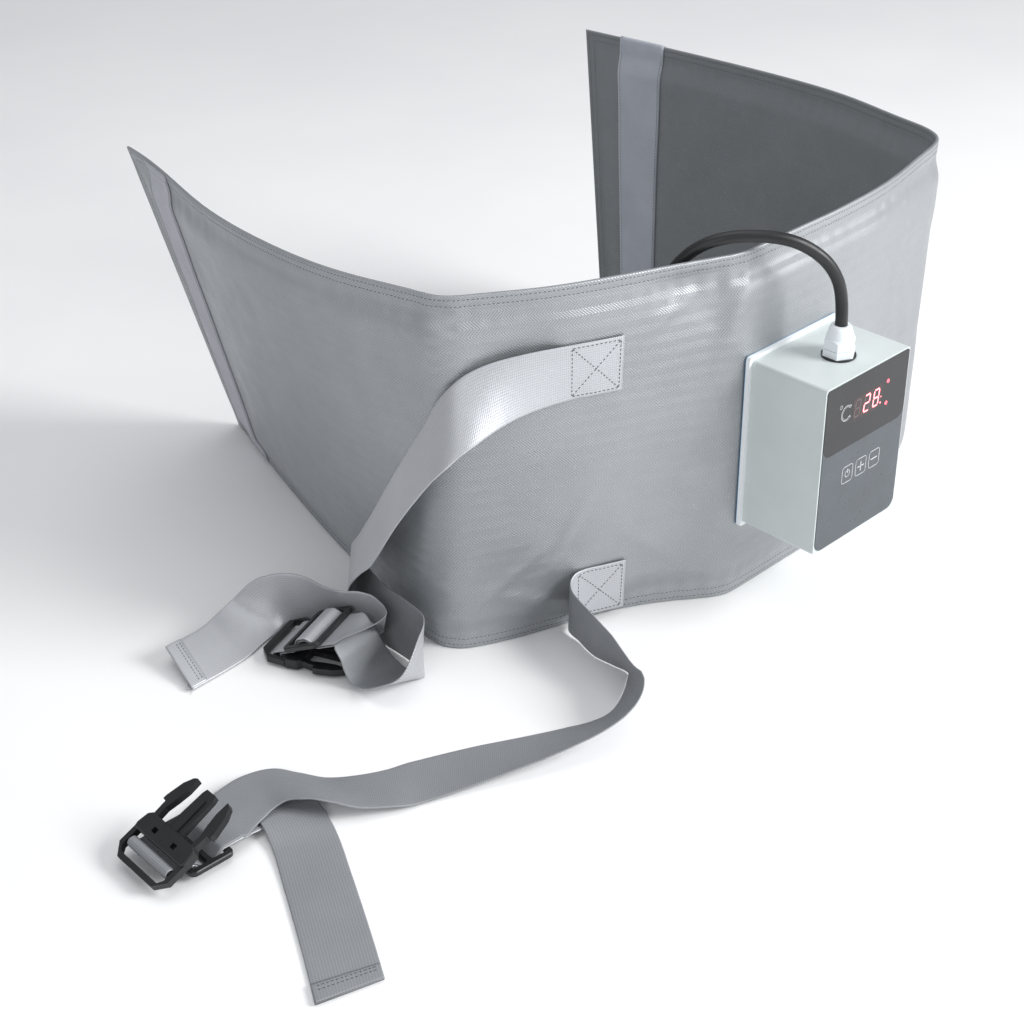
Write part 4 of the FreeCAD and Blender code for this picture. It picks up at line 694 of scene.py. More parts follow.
WEBBING, THICKNESS, WEB_GAP, WEB_BAR = 48.0, 1.5, 0.3, 2.2
SLIDER_BAR, SLIDER_SLOT, SLIDER_START, SLIDER_THICKNESS = 4.6, 11.2, 13.2, 4.4
LEG, LEGS_AT_BAR, LEG_LEAD, LEG_START, LEG_BEND = (THICKNESS + WEB_GAP) / 2, -2.9, 6.0, 5.5, 3.4
SLIDER_PITCH = SLIDER_BAR + SLIDER_SLOT
SLIDER_END = SLIDER_START + SLIDER_BAR * 3 + SLIDER_SLOT * 2
SEWN_GAP, FLOOR_GAP = 0.9, 0.4
SOCKET_FROM_END, SOCKET_DEPTH, TAB_LENGTH, TAB_STEP = 120.0, 7.0, 62.0, 4.0
BOX_INSET, BOX_STEPS, HEM_PLY, HEM_ROWS = 3.0, 14, 15.0, (3.2, 6.4)
UPPER_SLANT, LOWER_SLANT = 1.1, 1.5
FREE_STEP, SHORTEST_STEP, BEND_STEPS = 1.8, 0.3, 7
# Cross section: place across as a share of half the width, and share of the thickness there
RIM_PLACES = np.array([-1, -0.985, -0.93, -0.8, -0.5, 0, 0.5, 0.8, 0.93, 0.985, 1.0])
RIM_THICKNESS = np.array([0.35, 0.8, 1.0, 0.93, 1.0, 1.0, 1.0, 0.93, 1.0, 0.8, 0.35])

UPPER_RUN = [
    ((-180, 148.5, 243.5), (-0.06, -0.12, -0.99)), ((-211, 157, 239), (-0.2, -0.42, -0.88)),
    ((-236, 166, 226), (-0.35, -0.6, -0.72)), ((-250, 181, 199), (-0.5, -0.7, -0.5)),
    ((-258, 211, 150), (-0.58, -0.75, -0.32)), ((-256, 247, 95), (-0.6, -0.77, -0.2)),
    ((-251.5, 268, 71), (-0.65, -0.76, -0.1)), ((-244.7, 287.4, 50), (-0.66, -0.72, -0.15)),
    ((-240, 294.5, 40), (-0.66, -0.6, -0.42)), ((-241, 292, 29.8), (-0.6, -0.45, -0.66)),
    ((-241.8, 281.8, 24.2), (-0.45, -0.2, -0.87)), ((-246.3, 264.4, 23.4), (-0.34, -0.1, -0.94)),
    ((-250.2, 245.2, 23.9), (-0.28, -0.07, -0.96)), ((-251.6, 217.4, 24.2), (-0.23, -0.07, -0.97)),
    ((-254, 197.5, 24.4), (-0.18, 0.03, -0.98)), ((-258, 188, 24.2), (-0.12, 0.05, -0.99)),
    ((-266, 178, 24), (0.15, 0.12, -0.98)), ((-284, 171, 15.5), (0.66, 0.33, -0.58), 0.96),
    ((-291, 183, 8.5), (0.93, 0.12, -0.3)), ((-291, 202, 3.8), (0.99, 0.02, -0.08)),
    ((-292, 211, 7), (0.99, 0.06, -0.03)), ((-292.5, 219, 15.5), (0.98, 0.15, 0)),
    ((-292.5, 226, 25), (0.96, 0.26, 0)),
]
UPPER_TAIL = [
    ((-290, 230, 37), (0.93, 0.35, -0.1), 0.8), ((-285.5, 222.5, 39), (0.8, 0.5, -0.33), 0.55),
    ((-276.5, 219, 38.5), (0.45, 0.6, -0.66), 0.45), ((-267.5, 221, 35), (0.15, 0.4, -0.9), 0.45),
    ((-262, 228, 31), (0, 0.15, -0.99), 0.5), ((-260.2, 237, 28), (0, 0.03, -1), 0.7),
    ((-260, 246, 25.5), (0.05, 0.02, -1), 0.9), ((-262, 254, 24.6), (0.15, 0, -0.99)),
    ((-266.5, 268, 24.4), (0.3, 0.1, -0.95)), ((-272, 284, 24), (0.3, 0.1, -0.95)),
    ((-279.5, 303, 24), (0.15, -0.05, -0.98)), ((-296, 320, 23.8), (0.12, -0.3, -0.95)),
    ((-319, 330, 12), (0.06, -0.9, -0.4)), ((-356, 323, 7.8), (-0.1, -0.95, -0.27)),
    ((-401.5, 319.8, 8.4), (-0.18, -0.94, -0.28)),
]
LOWER_RUN = [
    ((-136, 139.5, 27.5), (-0.02, -0.05, 1)), ((-141.5, 133.5, 25.4), (-0.1, -0.12, 1)),
    ((-145.5, 120, 24.4), (-0.18, -0.2, 0.97)), ((-152.2, 96.6, 24), (-0.2, -0.2, 0.95)),
    ((-154.5, 74.6, 22.6), (-0.35, -0.25, 0.9)), ((-157.4, 57.4, 19.8), (-0.5, -0.4, 0.77)),
    ((-163, 45, 17), (-0.5, -0.58, 0.65)), ((-173, 34, 16.5), (-0.45, -0.65, 0.62)),
    ((-189.2, 25.5, 16), (-0.4, -0.68, 0.6)), ((-206, 22.5, 15), (-0.45, -0.68, 0.55)),
    ((-225, 25.5, 12.8), (-0.55, -0.68, 0.47)), ((-246.7, 34, 10.2), (-0.62, -0.68, 0.36)),
    ((-268.5, 43.9, 7.7), (-0.64, -0.7, 0.26)), ((-311, 65, 3.8), (-0.66, -0.74, 0.1)),
    ((-354.7, 83.9, 2.1), (-0.62, -0.78, 0.02)), ((-376.6, 92, 4), (-0.57, -0.8, 0.1)),
    ((-399.8, 105, 6.5), (-0.5, -0.83, 0.18)), ((-413.8, 118, 9.2), (-0.47, -0.82, 0.3)),
    ((-425, 133, 11.2), (-0.42, -0.85, 0.28)), ((-437, 146, 11.8), (-0.34, -0.92, 0.16)),
    ((-452, 151.5, 10), (-0.22, -0.97, 0.04)), ((-468, 150.5, 9.4), (-0.06, -1, 0)),
    ((-480, 147.5, 10), (0.02, -1, 0)),
]
LOWER_TAIL = [
    ((-480, 146, 6.5), (0, -1, 0)), ((-462, 146.8, 1.6), (0.3, -0.95, 0)),
    ((-446, 147, 1.3), (0.59, -0.8, 0)), ((-439.5, 147.5, 3.4), (0.59, -0.8, 0)),
    ((-442, 141.4, 5.5), (0.64, -0.76, 0)), ((-445.6, 129.5, 5.2), (0.78, -0.62, -0.05)),
    ((-449.5, 112, 4.4), (0.88, -0.48, -0.1)), ((-458, 90, 1.8), (0.87, -0.49, -0.03)),
    ((-475, 57, 1.1), (0.87, -0.48, 0)), ((-491.5, 25.5, 1.1), (0.86, -0.5, 0)),
    ((-509.5, -8, 1.1), (0.88, -0.46, 0)), ((-526.5, -38.5, 1.1), (0.95, -0.3, 0)),
]


class Fitting:
    """Place of a strap end: origin on the web bar, x along the legs, y along the bar, z to the buckle."""

    def __init__(self, origin, x, y):
        self.origin, self.x, self.y = (np.asarray(v, float) for v in (origin, x, y))
        self.z = np.cross(self.x, self.y)

    def point(self, x, y, z):
        return self.origin + self.x * x + self.y * y + self.z * z


def strap_end(origin, heading, rise, flipped):
    turn, lift = math.radians(heading), math.radians(rise)
    x = (math.cos(turn) * math.cos(lift), math.sin(turn) * math.cos(lift), math.sin(lift))
    level = np.array([-math.sin(turn), math.cos(turn), 0])
    return Fitting(origin, x, -level if flipped else level)


UPPER_END = strap_end((-311.0, 288.0, 5.2), heading=-69.5, rise=24.0, flipped=True)
LOWER_END = strap_end((-550.0, 146.0, 13.8), heading=-2.0, rise=0.0, flipped=False)


def bent_path(points, radii, off=0.0):
    """Flat path of straight runs with round bends, shifted sideways by off, as close points."""
    corners = np.array([complex(*point) for point in points])
    ways = np.diff(corners) / abs(np.diff(corners))
    mitres = [2 * (a + b) / abs(a + b) ** 2 for a, b in zip(ways, ways[1:])]
    shifted = corners + 1j * off * np.array([ways[0], *mitres, ways[-1]])
    path = [shifted[0]]
    for corner, before, after, radius in zip(shifted[1:-1], ways, ways[1:], radii):
        turn = cmath.phase(after / before)
        side = 1 if turn > 0 else -1
        radius -= side * off
        start = corner - before * radius * math.tan(abs(turn) / 2)
        centre = start + 1j * side * before * radius
        path += [centre + (start - centre) * cmath.rect(1, turn * k / BEND_STEPS) for k in range(BEND_STEPS + 1)]
    kept = [path[0]]
    for point in path[1:] + [shifted[-1]]:
        if abs(point - kept[-1]) > SHORTEST_STEP:
            kept.append(point)
    return [np.array([point.real, point.imag]) for point in kept]


def loop_stations():
    """Both legs and the loop round the web bar, in the strap end's own frame."""
    slider_top = LEGS_AT_BAR - LEG - THICKNESS / 2 - WEB_GAP
    low = slider_top - SLIDER_THICKNESS - WEB_GAP - LEG - THICKNESS / 2
    start, middle, rise = SLIDER_START + SLIDER_BAR, SLIDER_START + SLIDER_PITCH, 1.6
    leg = [
        (LEG_START, LEGS_AT_BAR), (start + rise, LEGS_AT_BAR), (middle - rise, low),
        (middle + SLIDER_BAR + rise, low), (SLIDER_END - SLIDER_BAR - rise, LEGS_AT_BAR),
        (SLIDER_END + 6.0, LEGS_AT_BAR),
    ]
    upper, lower = LEGS_AT_BAR + LEG, LEGS_AT_BAR - LEG
    front, back, top = WEB_BAR + 1.3, -WEB_BAR - 1.6, WEB_BAR + 1.1
    loop = [(LEG_START, upper), (front, upper), (front, top), (back, top), (back, lower), (LEG_START, lower)]
    incoming = bent_path(leg, [LEG_BEND] * 4, LEG)[::-1]
    outgoing = bent_path(leg, [LEG_BEND] * 4, -LEG)
    return incoming + bent_path(loop, [1.6, 3.2, 3.5, 3.5])[1:-1] + outgoing


def eased(stations):
    """Close stations on a smooth curve through those of a free run."""
    points = [np.asarray(s[0], float) for s in stations]
    ways = [unit(s[1]) for s in stations]
    shares = [s[2] if len(s) > 2 else 1.0 for s in stations]
    full = []
    for i in range(len(points) - 1):
        before, after = points[max(i - 1, 0)], points[min(i + 2, len(points) - 1)]
        wb, wa = ways[max(i - 1, 0)], ways[min(i + 2, len(points) - 1)]
        span = np.linalg.norm(points[i + 1] - points[i])
        start = (points[i + 1] - before) * (span / max(np.linalg.norm(points[i + 1] - before), 0.1))
        end = (after - points[i]) * (span / max(np.linalg.norm(after - points[i]), 0.1))
        steps = max(1, int(span / FREE_STEP))
        for t in np.arange(steps) / steps:
            a, b, c, d = hermite(t)
            middle = points[i] * a + start * b + points[i + 1] * c + end * d
            way = ways[i] * a + (ways[i + 1] - wb) / 2 * b + ways[i + 1] * c + (wa - ways[i]) / 2 * d
            full.append((middle, way, shares[i] * (1 - t) + shares[i + 1] * t))
    return full + [(points[-1], ways[-1], shares[-1])]


def patch_stations(patch, side):
    first, last, height = patch
    off = HALF_BODY + SEWN_GAP + THICKNESS / 2
    stations = []
    for u in (first, (first + last) / 2, last):
        low, high = [jacket_points(u, height + step * WEBBING / 2, off) for step in (-1, 1)]
        stations.append(((low + high) / 2, (high - low) * side))
    return stations


def ways_along(points):
    """Direction at each point of a line, from the points on both sides of it."""
    return np.concatenate([points[1:2] - points[:1], points[2:] - points[:-2], points[-1:] - points[-2:-1]])


class Ribbon:
    """Webbing through stations: middle point, direction across it and share of its width."""

    def __init__(self, stations, lift=True, most_slant=1.0):
        self.middles = np.array([np.asarray(s[0], float) for s in stations])
        self.across = unit(np.array([np.asarray(s[1], float) for s in stations]))
        self.shares = np.array([s[2] if len(s) > 2 else 1.0 for s in stations])
        along = ways_along(self.middles)
        self.normals = unit(np.cross(along, self.across))
        sine = np.sqrt(np.maximum(1 - (unit(along) * self.across).sum(1) ** 2, 1e-6))
        self.half = WEBBING / 2 * np.minimum(1 / sine, most_slant) * self.shares
        edges = [self.middles + self.across * (self.half * a)[:, None] for a in (-1, 1)]
        self.edge_normals = [unit(np.cross(ways_along(edge), self.across)) for edge in edges]
        if lift:
            reach = np.abs(self.across[:, 2]) * self.half + np.abs(self.normals[:, 2]) * THICKNESS / 2
            sunk = np.maximum(0, FLOOR_GAP - (self.middles[:, 2] - reach))
            self.middles[:, 2] += sunk
        steps = np.linalg.norm(np.diff(self.middles, axis=0), axis=1)
        self.distance = np.concatenate([[0], np.cumsum(steps)])

    def top_side(self):
        """Side of the free end that faces up."""
        return 1 if self.normals[-1][2] > 0 else -1

    def surface(self, distance, across, side, lift=0.0):
        """Point in metres and normal on one side, from the distance along and the place across in mm."""
        place, way, up = [between(distance, self.distance, v) for v in (self.middles, self.across, self.normals)]
        up = unit(up) * side
        return row(place + unit(way) * across + up * (THICKNESS / 2 + lift)), up

    def make(self, name, front_side, finishes="front_web back_web"):
        rim = np.concatenate([RIM_PLACES, RIM_PLACES[::-1]])
        rise = np.concatenate([RIM_THICKNESS, -RIM_THICKNESS[::-1]]) * THICKNESS / 2
        place = self.middles[:, None] + self.across[:, None] * (self.half[:, None] * rim)[..., None]
        near, far = (normals[:, None] for normals in self.edge_normals)
        normals = unit(near * (1 - rim[None, :, None]) + far * (1 + rim[None, :, None]))
        place = place + normals * (rise[None, :] * self.shares[:, None])[..., None]
        count, ring = len(self.middles), len(rim)
        index = np.arange(count * ring).reshape(count, ring)
        follow = np.roll(index, -1, axis=1)
        quads = np.stack([index[:-1], follow[:-1], follow[1:], index[1:]], -1)
        side = np.broadcast_to(np.where(np.arange(ring) < len(RIM_PLACES), 1, -1), (count - 1, ring))
        # The reverse side and the end caps take the darker webbing copy, which is painted shade.
        finish = np.where(side == front_side, 0, 1).ravel()
        faces = quads.reshape(-1, 4).tolist()
        caps = [index[0][::-1].tolist(), index[-1].tolist()]
        uv = np.stack(np.broadcast_arrays(self.distance[:, None], rim[None, :] * WEBBING / 2), -1)
        return make_piece(name, row(place).reshape(-1, 3), faces + caps, finishes, uv=uv.reshape(-1, 2) / 1000,
                          indices=finish.tolist() + [1, 1])


def sewn_box(thread, ribbon, start, end, side):
    """Stitched rectangle with a cross in it, on a strap's sewn end."""
    edge = WEBBING / 2 - BOX_INSET
    corners = [(start, -edge), (end, -edge), (end, edge), (start, edge)]
    lines = [(corners[k], corners[(k + 1) % 4]) for k in range(4)]
    lines += [(corners[0], corners[2]), (corners[1], corners[3])]
    for first, second in lines:
        spots = [ribbon.surface(*(np.array(first) * (1 - t) + np.array(second) * t), side, THREAD_LIFT)
                 for t in np.linspace(0, 1, BOX_STEPS)]
        thread.line([s[0] for s in spots], [s[1] for s in spots], pitch=3.4, width=0.75, height=0.4)


def tail_hem(name, ribbon, front_side):
    """Folded end of a strap: a second ply on the side that faces up, with its stitches."""
    side, end = ribbon.top_side(), ribbon.distance[-1]
    spots = np.linspace(end - HEM_PLY, end + 0.6, 9)
    stations = []
    for k, s in enumerate(spots):
        point, up = ribbon.surface(min(s, end), 0, side, THICKNESS / 2 + (0.12 if k else -0.2))
        ahead = ribbon.middles[-1] - ribbon.middles[-3]
        place = point * 1000 - ORIGIN + unit(ahead) * max(s - end, 0)
        stations.append((place, between(min(s, end), ribbon.distance, ribbon.across)))
    ply = Ribbon(stations)
    # A ply whose top is the reverse side takes the darker webbing copy, which is painted shade.
    top = "front_web" if side == front_side else "back_web"
    ply.make(name, 1, top + " " + top)
    thread = Thread(name + "_stitches")
    normal_side = 1 if np.dot(ply.normals[4], ribbon.normals[-1]) * side > 0 else -1
    for s in HEM_ROWS:
        line = [ply.surface(s, a, normal_side, THREAD_LIFT) for a in np.linspace(-21, 21, 12)]
        thread.line([p for p, _ in line], [n for _, n in line], pitch=3.2, width=0.6, height=0.35)
    thread.make()


def frayed_corner(name, ribbon):
    """Loose threads at one corner of a strap's free end."""
    rng = np.random.default_rng(5)
    thread = Thread(name, "front_web")
    ahead = unit(ribbon.middles[-1] - ribbon.middles[-3])
    for _ in range(16):
        across = rng.uniform(16, 23.5)
        spot, up = ribbon.surface(ribbon.distance[-1], across, ribbon.top_side(), -0.4)
        way = ahead * rng.uniform(0.5, 1.2) + ribbon.across[-1] * rng.uniform(-0.3, 0.9)
        way = unit(way + up * rng.uniform(-0.1, 0.35))
        middle = spot + way * rng.uniform(0.0015, 0.003)
        thread.stitch(spot - way * 0.0012, middle + way * 0.0008, up, 0.35, 0.2)
        bend = unit(way + np.array([0, 0, -0.5]) + ribbon.across[-1] * rng.uniform(-0.6, 0.6))
        thread.stitch(middle - way * 0.0004, middle + bend * rng.uniform(0.002, 0.0045), up, 0.28, 0.18)
    thread.make()


def strap(name, patch, side, run, tail, fitting, most_slant):
    """Strap with its sewn end: gives its ribbon."""
    over = -fitting.y
    legs = [(fitting.point(x, 0, z), over) for x, z in loop_stations()]
    lead = fitting.x * LEG_LEAD
    sewn = patch_stations(PATCHES[patch], side)
    coming = eased(sewn + run + [(legs[0][0] + lead, over)])
    leaving = eased([(legs[-1][0] + lead, over)] + tail)
    ribbon = Ribbon(coming + legs + leaving, most_slant=most_slant)
    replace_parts(ribbon.make(name + "_webbing", -side), name)
    thread = Thread(name + "_sewn_end")
    sewn_box(thread, ribbon, BOX_INSET, PATCHES[patch][0] - PATCHES[patch][1], -side)
    thread.make()
    return ribbon


def socket_place(z):
    """Place of a socket half on the outer side of the back wing, at a given height."""
    u = LENGTH - SOCKET_FROM_END
    along = unit(jacket_points(u + 20, z) - jacket_points(u - 60, z))
    upward = unit(jacket_points(u, z + WEBBING / 2) - jacket_points(u, z - WEBBING / 2))
    out = unit(np.cross(along, upward))
    face = jacket_points(u, z, HALF_BODY)
    stretch = [jacket_points(u + a * 10, z + b * WEBBING / 2, HALF_BODY) for a in range(-7, 6) for b in (-1, 0, 1)]
    highest = max((point - face).dot(out) for point in stretch)
    return Fitting(face + out * (highest + SOCKET_DEPTH + SEWN_GAP), along, np.cross(out, along))


def buckle_tab(name, height):
    """Webbing tab that loops round the web bar of a socket, sewn to the wing."""
    ply, low = THICKNESS + WEB_GAP, THICKNESS / 2 - SOCKET_DEPTH
    around = WEB_BAR + WEB_GAP + THICKNESS / 2 + 0.1
    points = [
        (-TAB_LENGTH, low), (-9, low), (-2, -around), (around, -around), (around, around),
        (-around, around), (-9, low + ply), (-TAB_LENGTH, low + ply),
    ]
    path = bent_path(points, [4.0, 3.0, around - 0.1, around - 0.1, 2.4, 2.0])
    place = socket_place(height)
    dense = [path[0]]
    for point in path[1:]:
        count = max(1, int(np.linalg.norm(point - dense[-1]) / TAB_STEP))
        last = dense[-1]
        dense += [last + (point - last) * k / count for k in range(1, count + 1)]
    ribbon = Ribbon([(place.point(x, 0, z), place.y) for x, z in dense], lift=False)
    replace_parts(ribbon.make(name + "_webbing", 1), name)
    thread = Thread(name + "_stitches")
    top = ribbon.distance[-1]
    up = 1 if ribbon.normals[-1].dot(place.z) > 0 else -1
    sewn_box(thread, ribbon, top - 40, top - 4, up)
    thread.make()


# Prints on the front of the case: thin flat shapes on the overlay, from its face to their own fronts

OVERLAY_FACE = -0.6
PRINT_FRONTS = {
    "key_signs": -0.69, "black_field": -0.72, "display_field": -0.78, "front_signs": -0.82,
    "unlit_segments": -0.84, "indicator_lenses": -0.86, "lit_segments": -0.88,
}


class Print:
    """Collects flat strokes and plates that lie on the front overlay."""

    def __init__(self, name, finish):
        self.name, self.finish, self.verts, self.faces = name, finish, [], []

    def plate(self, outline):
        count, base = len(outline), len(self.verts)
        for y in (PRINT_FRONTS[self.name], OVERLAY_FACE):
            self.verts += [(x, y, z) for x, z in outline]
        self.faces.append([base + k for k in range(count)])
        for k in range(count):
            n = (k + 1) % count
            self.faces.append([base + n, base + k, base + count + k, base + count + n])

    def stroke(self, points, width, closed=False):
        points = [np.array(p, float) for p in points]
        count = len(points)
        for k in range(count if closed else count - 1):
            a, b = points[k], points[(k + 1) % count]
            way = unit(b - a)
            side = np.array([-way[1], way[0]]) * width / 2
            grow = way * width * 0.18
            self.plate([a - grow + side, a - grow - side, b + grow - side, b + grow + side][::-1])

    def make(self):
        make_piece(self.name, row(self.verts), self.faces, self.finish, smooth=False)


def arc(cx, cz, radius, start, end, steps=16):
    angles = [math.radians(start + (end - start) * k / steps) for k in range(steps + 1)]
    return [(cx + radius * math.cos(a), cz + radius * math.sin(a)) for a in angles]


def dot(cx, cz, radius, steps=12):
    """Round plate: an arc that stops one step short of its start."""
    return arc(cx, cz, radius, 0, 360 - 360 / steps, steps - 1)


def rounded_outline(x0, x1, z0, z1, low, high, steps=8):
    """Outline of a rectangle whose lower corners have one radius and upper corners another."""
    corners = [
        (x1 - low, z0 + low, low, -90), (x1 - high, z1 - high, high, 0),
        (x0 + high, z1 - high, high, 90), (x0 + low, z0 + low, low, 180),
    ]
    return [point for cx, cz, radius, start in corners for point in arc(cx, cz, radius, start, start + 90, steps)]


SEGMENTS = {
    "a": ((0.1, 1.0), (0.9, 1.0)), "b": ((1.0, 0.93), (1.0, 0.55)), "c": ((1.0, 0.45), (1.0, 0.07)),
    "d": ((0.1, 0.0), (0.9, 0.0)), "e": ((0.0, 0.45), (0.0, 0.07)), "f": ((0.0, 0.93), (0.0, 0.55)),
    "g": ((0.1, 0.5), (0.9, 0.5)),
}
DIGITS = {"2": "abged", "8": "abcdefg", " ": ""}
DIGIT_X, DIGIT_Z, DIGIT_PITCH, DIGIT_WIDTH, DIGIT_HEIGHT = 38.6, 187.4, 12.2, 6.6, 14.2
DIGIT_SLANT, SEGMENT_WIDTH = 0.10, 1.25
POWER_X, PLUS_X, MINUS_X, KEYS_Z = 37.2, 55.2, 73.2, 136.7
KEY_HALF_WIDTH, KEY_HALF_HEIGHT, KEY_RADIUS, SIGN_REACH = 6.9, 7.6, 2.6, 4.2
LAMP_X, LAMP_HEIGHTS, LAMP_RADIUS = 81.8, (204.0, 184.2), 1.7


def display_digits():
    """Three digits with their points: the first is dark and the others show 28."""
    dark, light = Print("unlit_segments", "unlit"), Print("lit_segments", "lit")
    for k, digit in enumerate(" 28"):
        for name, ends in SEGMENTS.items():
            points = [(DIGIT_X + DIGIT_PITCH * k + DIGIT_WIDTH * a + DIGIT_HEIGHT * b * DIGIT_SLANT,
                       DIGIT_Z + DIGIT_HEIGHT * b) for a, b in ends]
            (light if name in DIGITS[digit] else dark).stroke(points, SEGMENT_WIDTH)
    light.plate(dot(73.3, 187.6, 0.8))
    light.plate(dot(73.6, 193.0, 0.55))
    for k in range(2):
        dark.plate(dot(48.6 + DIGIT_PITCH * k, 187.3, 0.6))
    dark.make()
    light.make()


def front_prints():
    black = Print("black_field", "black_print")
    black.plate(rounded_outline(1.6, 108.4, 163.0, 223.4, 9.5, 2.4))
    black.make()
    window = Print("display_field", "window")
    window.plate(rounded_outline(36.2, 74.9, 184.4, 204.9, 0.8, 0.8, 3))
    window.make()
    display_digits()
    signs = Print("front_signs", "light_print")
    signs.stroke(arc(20.4, 203.2, 1.5, 0, 345), 0.6)
    signs.stroke([(33.0, 200.8)] + arc(28.2, 195.4, 6.0, 50, 310, 20) + [(33.0, 190.4)], 2.0)
    signs.make()
    keys = Print("key_signs", "light_print")
    low, high = KEYS_Z - KEY_HALF_HEIGHT, KEYS_Z + KEY_HALF_HEIGHT
    for x in (POWER_X, PLUS_X, MINUS_X):
        outline = rounded_outline(x - KEY_HALF_WIDTH, x + KEY_HALF_WIDTH, low, high, KEY_RADIUS, KEY_RADIUS, 4)
        keys.stroke(outline, 0.55, True)
    keys.stroke(arc(POWER_X, KEYS_Z + 0.5, 3.0, 115, 425, 18), 0.75)
    keys.stroke([(POWER_X, KEYS_Z + 0.9), (POWER_X, KEYS_Z + 4.5)], 0.75)
    keys.stroke([(PLUS_X, KEYS_Z - SIGN_REACH), (PLUS_X, KEYS_Z + SIGN_REACH)], 0.9)
    for x in (PLUS_X, MINUS_X):
        keys.stroke([(x - SIGN_REACH, KEYS_Z), (x + SIGN_REACH, KEYS_Z)], 0.9)
    keys.make()
    lamps = Print("indicator_lenses", "lit_led")
    for z in LAMP_HEIGHTS:
        lamps.plate(dot(LAMP_X, z, LAMP_RADIUS, 24))
    lamps.make()


# Power cord

CORD = 10.0
CORD_ROUTE = [
    (56, 31, 252), (55.5, 31.3, 277), (47, 37, 301.5), (32, 48.5, 319), (13, 64, 329.5), (-15, 90, 331),
    (-31, 109, 321.5), (-42, 123.5, 302.5), (-48, 132, 277.5), (-50, 135.5, 247), (-51, 137, 205),
    (-51, 137.5, 160), (-50, 137.5, 118), (-48.5, 137, 82), (-47, 137, 53.5), (-38.5, 140.5, 31.4),
    (-22.5, 147, 14.5), (-2, 155, 5.4), (22.5, 163, 5.4), (46.5, 168.5, 5.4), (71, 171, 5.4),
]
COIL_RADIUS, COIL_TURNS, COIL_STEPS = 58.0, 4, 16
CORD_LOW = CORD / 2 + FLOOR_GAP
PLUG_FROM_CENTRE, PLUG_HEIGHT = 21.0, 18.4


def coil_points():
    """Turns of the coil from where the route meets it to where the cord leaves for the plug."""
    last, before = np.array(CORD_ROUTE[-1], float), np.array(CORD_ROUTE[-2], float)
    ahead = unit(last - before)
    side = unit(np.array([-ahead[1], ahead[0], 0]))
    outer, inner = COIL_RADIUS + CORD / 2, COIL_RADIUS - CORD / 2
    centre = last + side * outer
    start = math.degrees(math.atan2(*(last - centre)[[1, 0]]))
    total = (360 * COIL_TURNS - start) / 360 - 1
    turns = [0.0, 0.78, 0.98, 1.55, 1.8, 2.28, 2.5, total]
    radii = [outer, outer, inner, inner, inner, inner, outer, outer]
    heights = [CORD_LOW] * 4 + [CORD_LOW + CORD] * 4
    grow = 1 / math.cos(math.pi / COIL_STEPS)
    count = int(total * COIL_STEPS)
    points = []
    for k in range(1, count + 1):
        t = total * k / count
        angle = math.radians(start + 360 * t)
        r = np.interp(t, turns, radii) * grow
        place = centre[:2] + r * np.array([math.cos(angle), math.sin(angle)])
        points.append((*place, np.interp(t, turns, heights)))
    leaving = ((2, CORD_LOW + CORD), (14, PLUG_HEIGHT - 0.8), (PLUG_FROM_CENTRE + 6, PLUG_HEIGHT))
    return points[:-1] + [(centre[0] + outer, centre[1] + y, z) for y, z in leaving]


def power_cord():
    data = bpy.data.curves.new("power_cord_line", "CURVE")
    data.dimensions = "3D"
    data.bevel_depth = CORD / 2000
    data.bevel_resolution = 6
    data.use_fill_caps = True
    data.resolution_u = 8
    points = row(CORD_ROUTE + coil_points())
    spline = data.splines.new("NURBS")
    spline.points.add(len(points) - 1)
    for target, place in zip(spline.points, points):
        target.co = (*place, 1)
    spline.order_u = 3
    spline.use_endpoint_u = True
    data.materials.append(MATERIALS["rubber"])
    cord = add_object("power_cord_line", data)
    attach(cord, "belt")
    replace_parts(cord, "power_cord", "power_cord_coil")


# Studio

LIGHTS = {  # place, size and power
    "key": ((1.2, -2.2, 1.5), 1.2, 84.0),
    "fill": ((-1.9, -0.9, 1.1), 1.4, 9.0),
    "top": ((0.1, 0.2, 2.6), 2.0, 20.0),
}
LIT_POINT = Vector((0.0, -0.1, 0.15))
SURROUNDINGS = (0.40, 0.41, 0.43, 1)


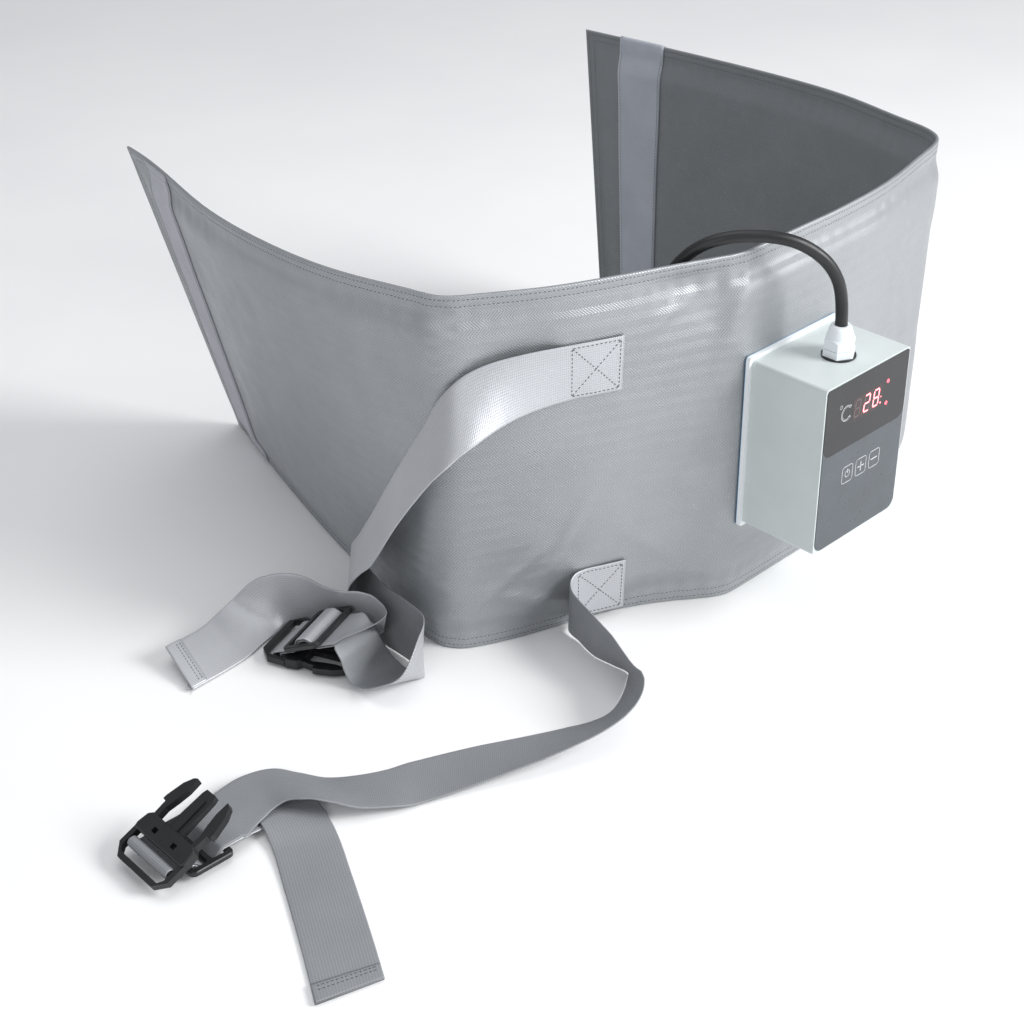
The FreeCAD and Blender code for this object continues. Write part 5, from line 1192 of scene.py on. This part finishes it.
def studio():
    floor_mesh = bpy.data.meshes.new("floor")
    floor_mesh.from_pydata([(-4, -4, 0), (5, -4, 0), (5, 5, 0), (-4, 5, 0)], [], [(0, 1, 2, 3)])
    m = Nodes("studio_floor", (0.9, 0.9, 0.9), 0.8)
    m.link(m.ramp(m.noise(3.0), (0.88, 0.88, 0.885), (0.92, 0.92, 0.92)), "Base Color")
    floor_mesh.materials.append(m.material)
    floor = add_object("floor", floor_mesh)
    floor.location.z = -0.0003
    world = bpy.data.worlds.new("studio")
    world.use_nodes = True
    tree = world.node_tree
    back = tree.nodes["Background"]
    rays = tree.nodes.new("ShaderNodeLightPath")
    tint = tree.nodes.new("ShaderNodeMix")
    tint.data_type = "RGBA"
    tint.inputs[6].default_value = SURROUNDINGS
    tint.inputs[7].default_value = (1, 1, 1, 1)
    tree.links.new(rays.outputs["Is Camera Ray"], tint.inputs[0])
    tree.links.new(tint.outputs[2], back.inputs["Color"])
    bpy.context.scene.world = world
    for name, (place, size, power) in LIGHTS.items():
        data = bpy.data.lights.new(name, "AREA")
        data.size, data.energy = size, power
        light = add_object(name, data)
        light.location = place
        light.rotation_euler = (LIT_POINT - Vector(place)).to_track_quat("-Z", "Y").to_euler()
    bpy.context.scene.view_settings.view_transform = "Standard"


make_camera()
studio()
finish_solids()
power_cord()
cloth_skin("outer_cloth_skin", "outer_cloth", outer_offset, "outer", 1)
cloth_skin("inner_cloth_skin", "inner_cloth", inner_offset, "inner", -1)
felt_pad()
hem_stitches("outer_hem_stitches", outer_offset, 1)
hem_stitches("inner_hem_stitches", inner_offset, -1)
closure_tape("hook_tape_strip", "hook_tape", TAPE_FROM_END, outer_offset, 1, "hook", False)
closure_tape("loop_tape_strip", "loop_tape", LENGTH - TAPE_FROM_END - TAPE, inner_offset, -1, "loop", True)
upper_ribbon = strap("upper_strap", "upper", -1, UPPER_RUN, UPPER_TAIL, UPPER_END, UPPER_SLANT)
lower_ribbon = strap("lower_strap", "lower", 1, LOWER_RUN, LOWER_TAIL, LOWER_END, LOWER_SLANT)
tail_hem("upper_tail_hem", upper_ribbon, 1)
tail_hem("lower_tail_hem", lower_ribbon, -1)
frayed_corner("upper_tail_frays", upper_ribbon)
buckle_tab("upper_buckle_tab", 245.0)
buckle_tab("lower_buckle_tab", 75.0)
front_prints()
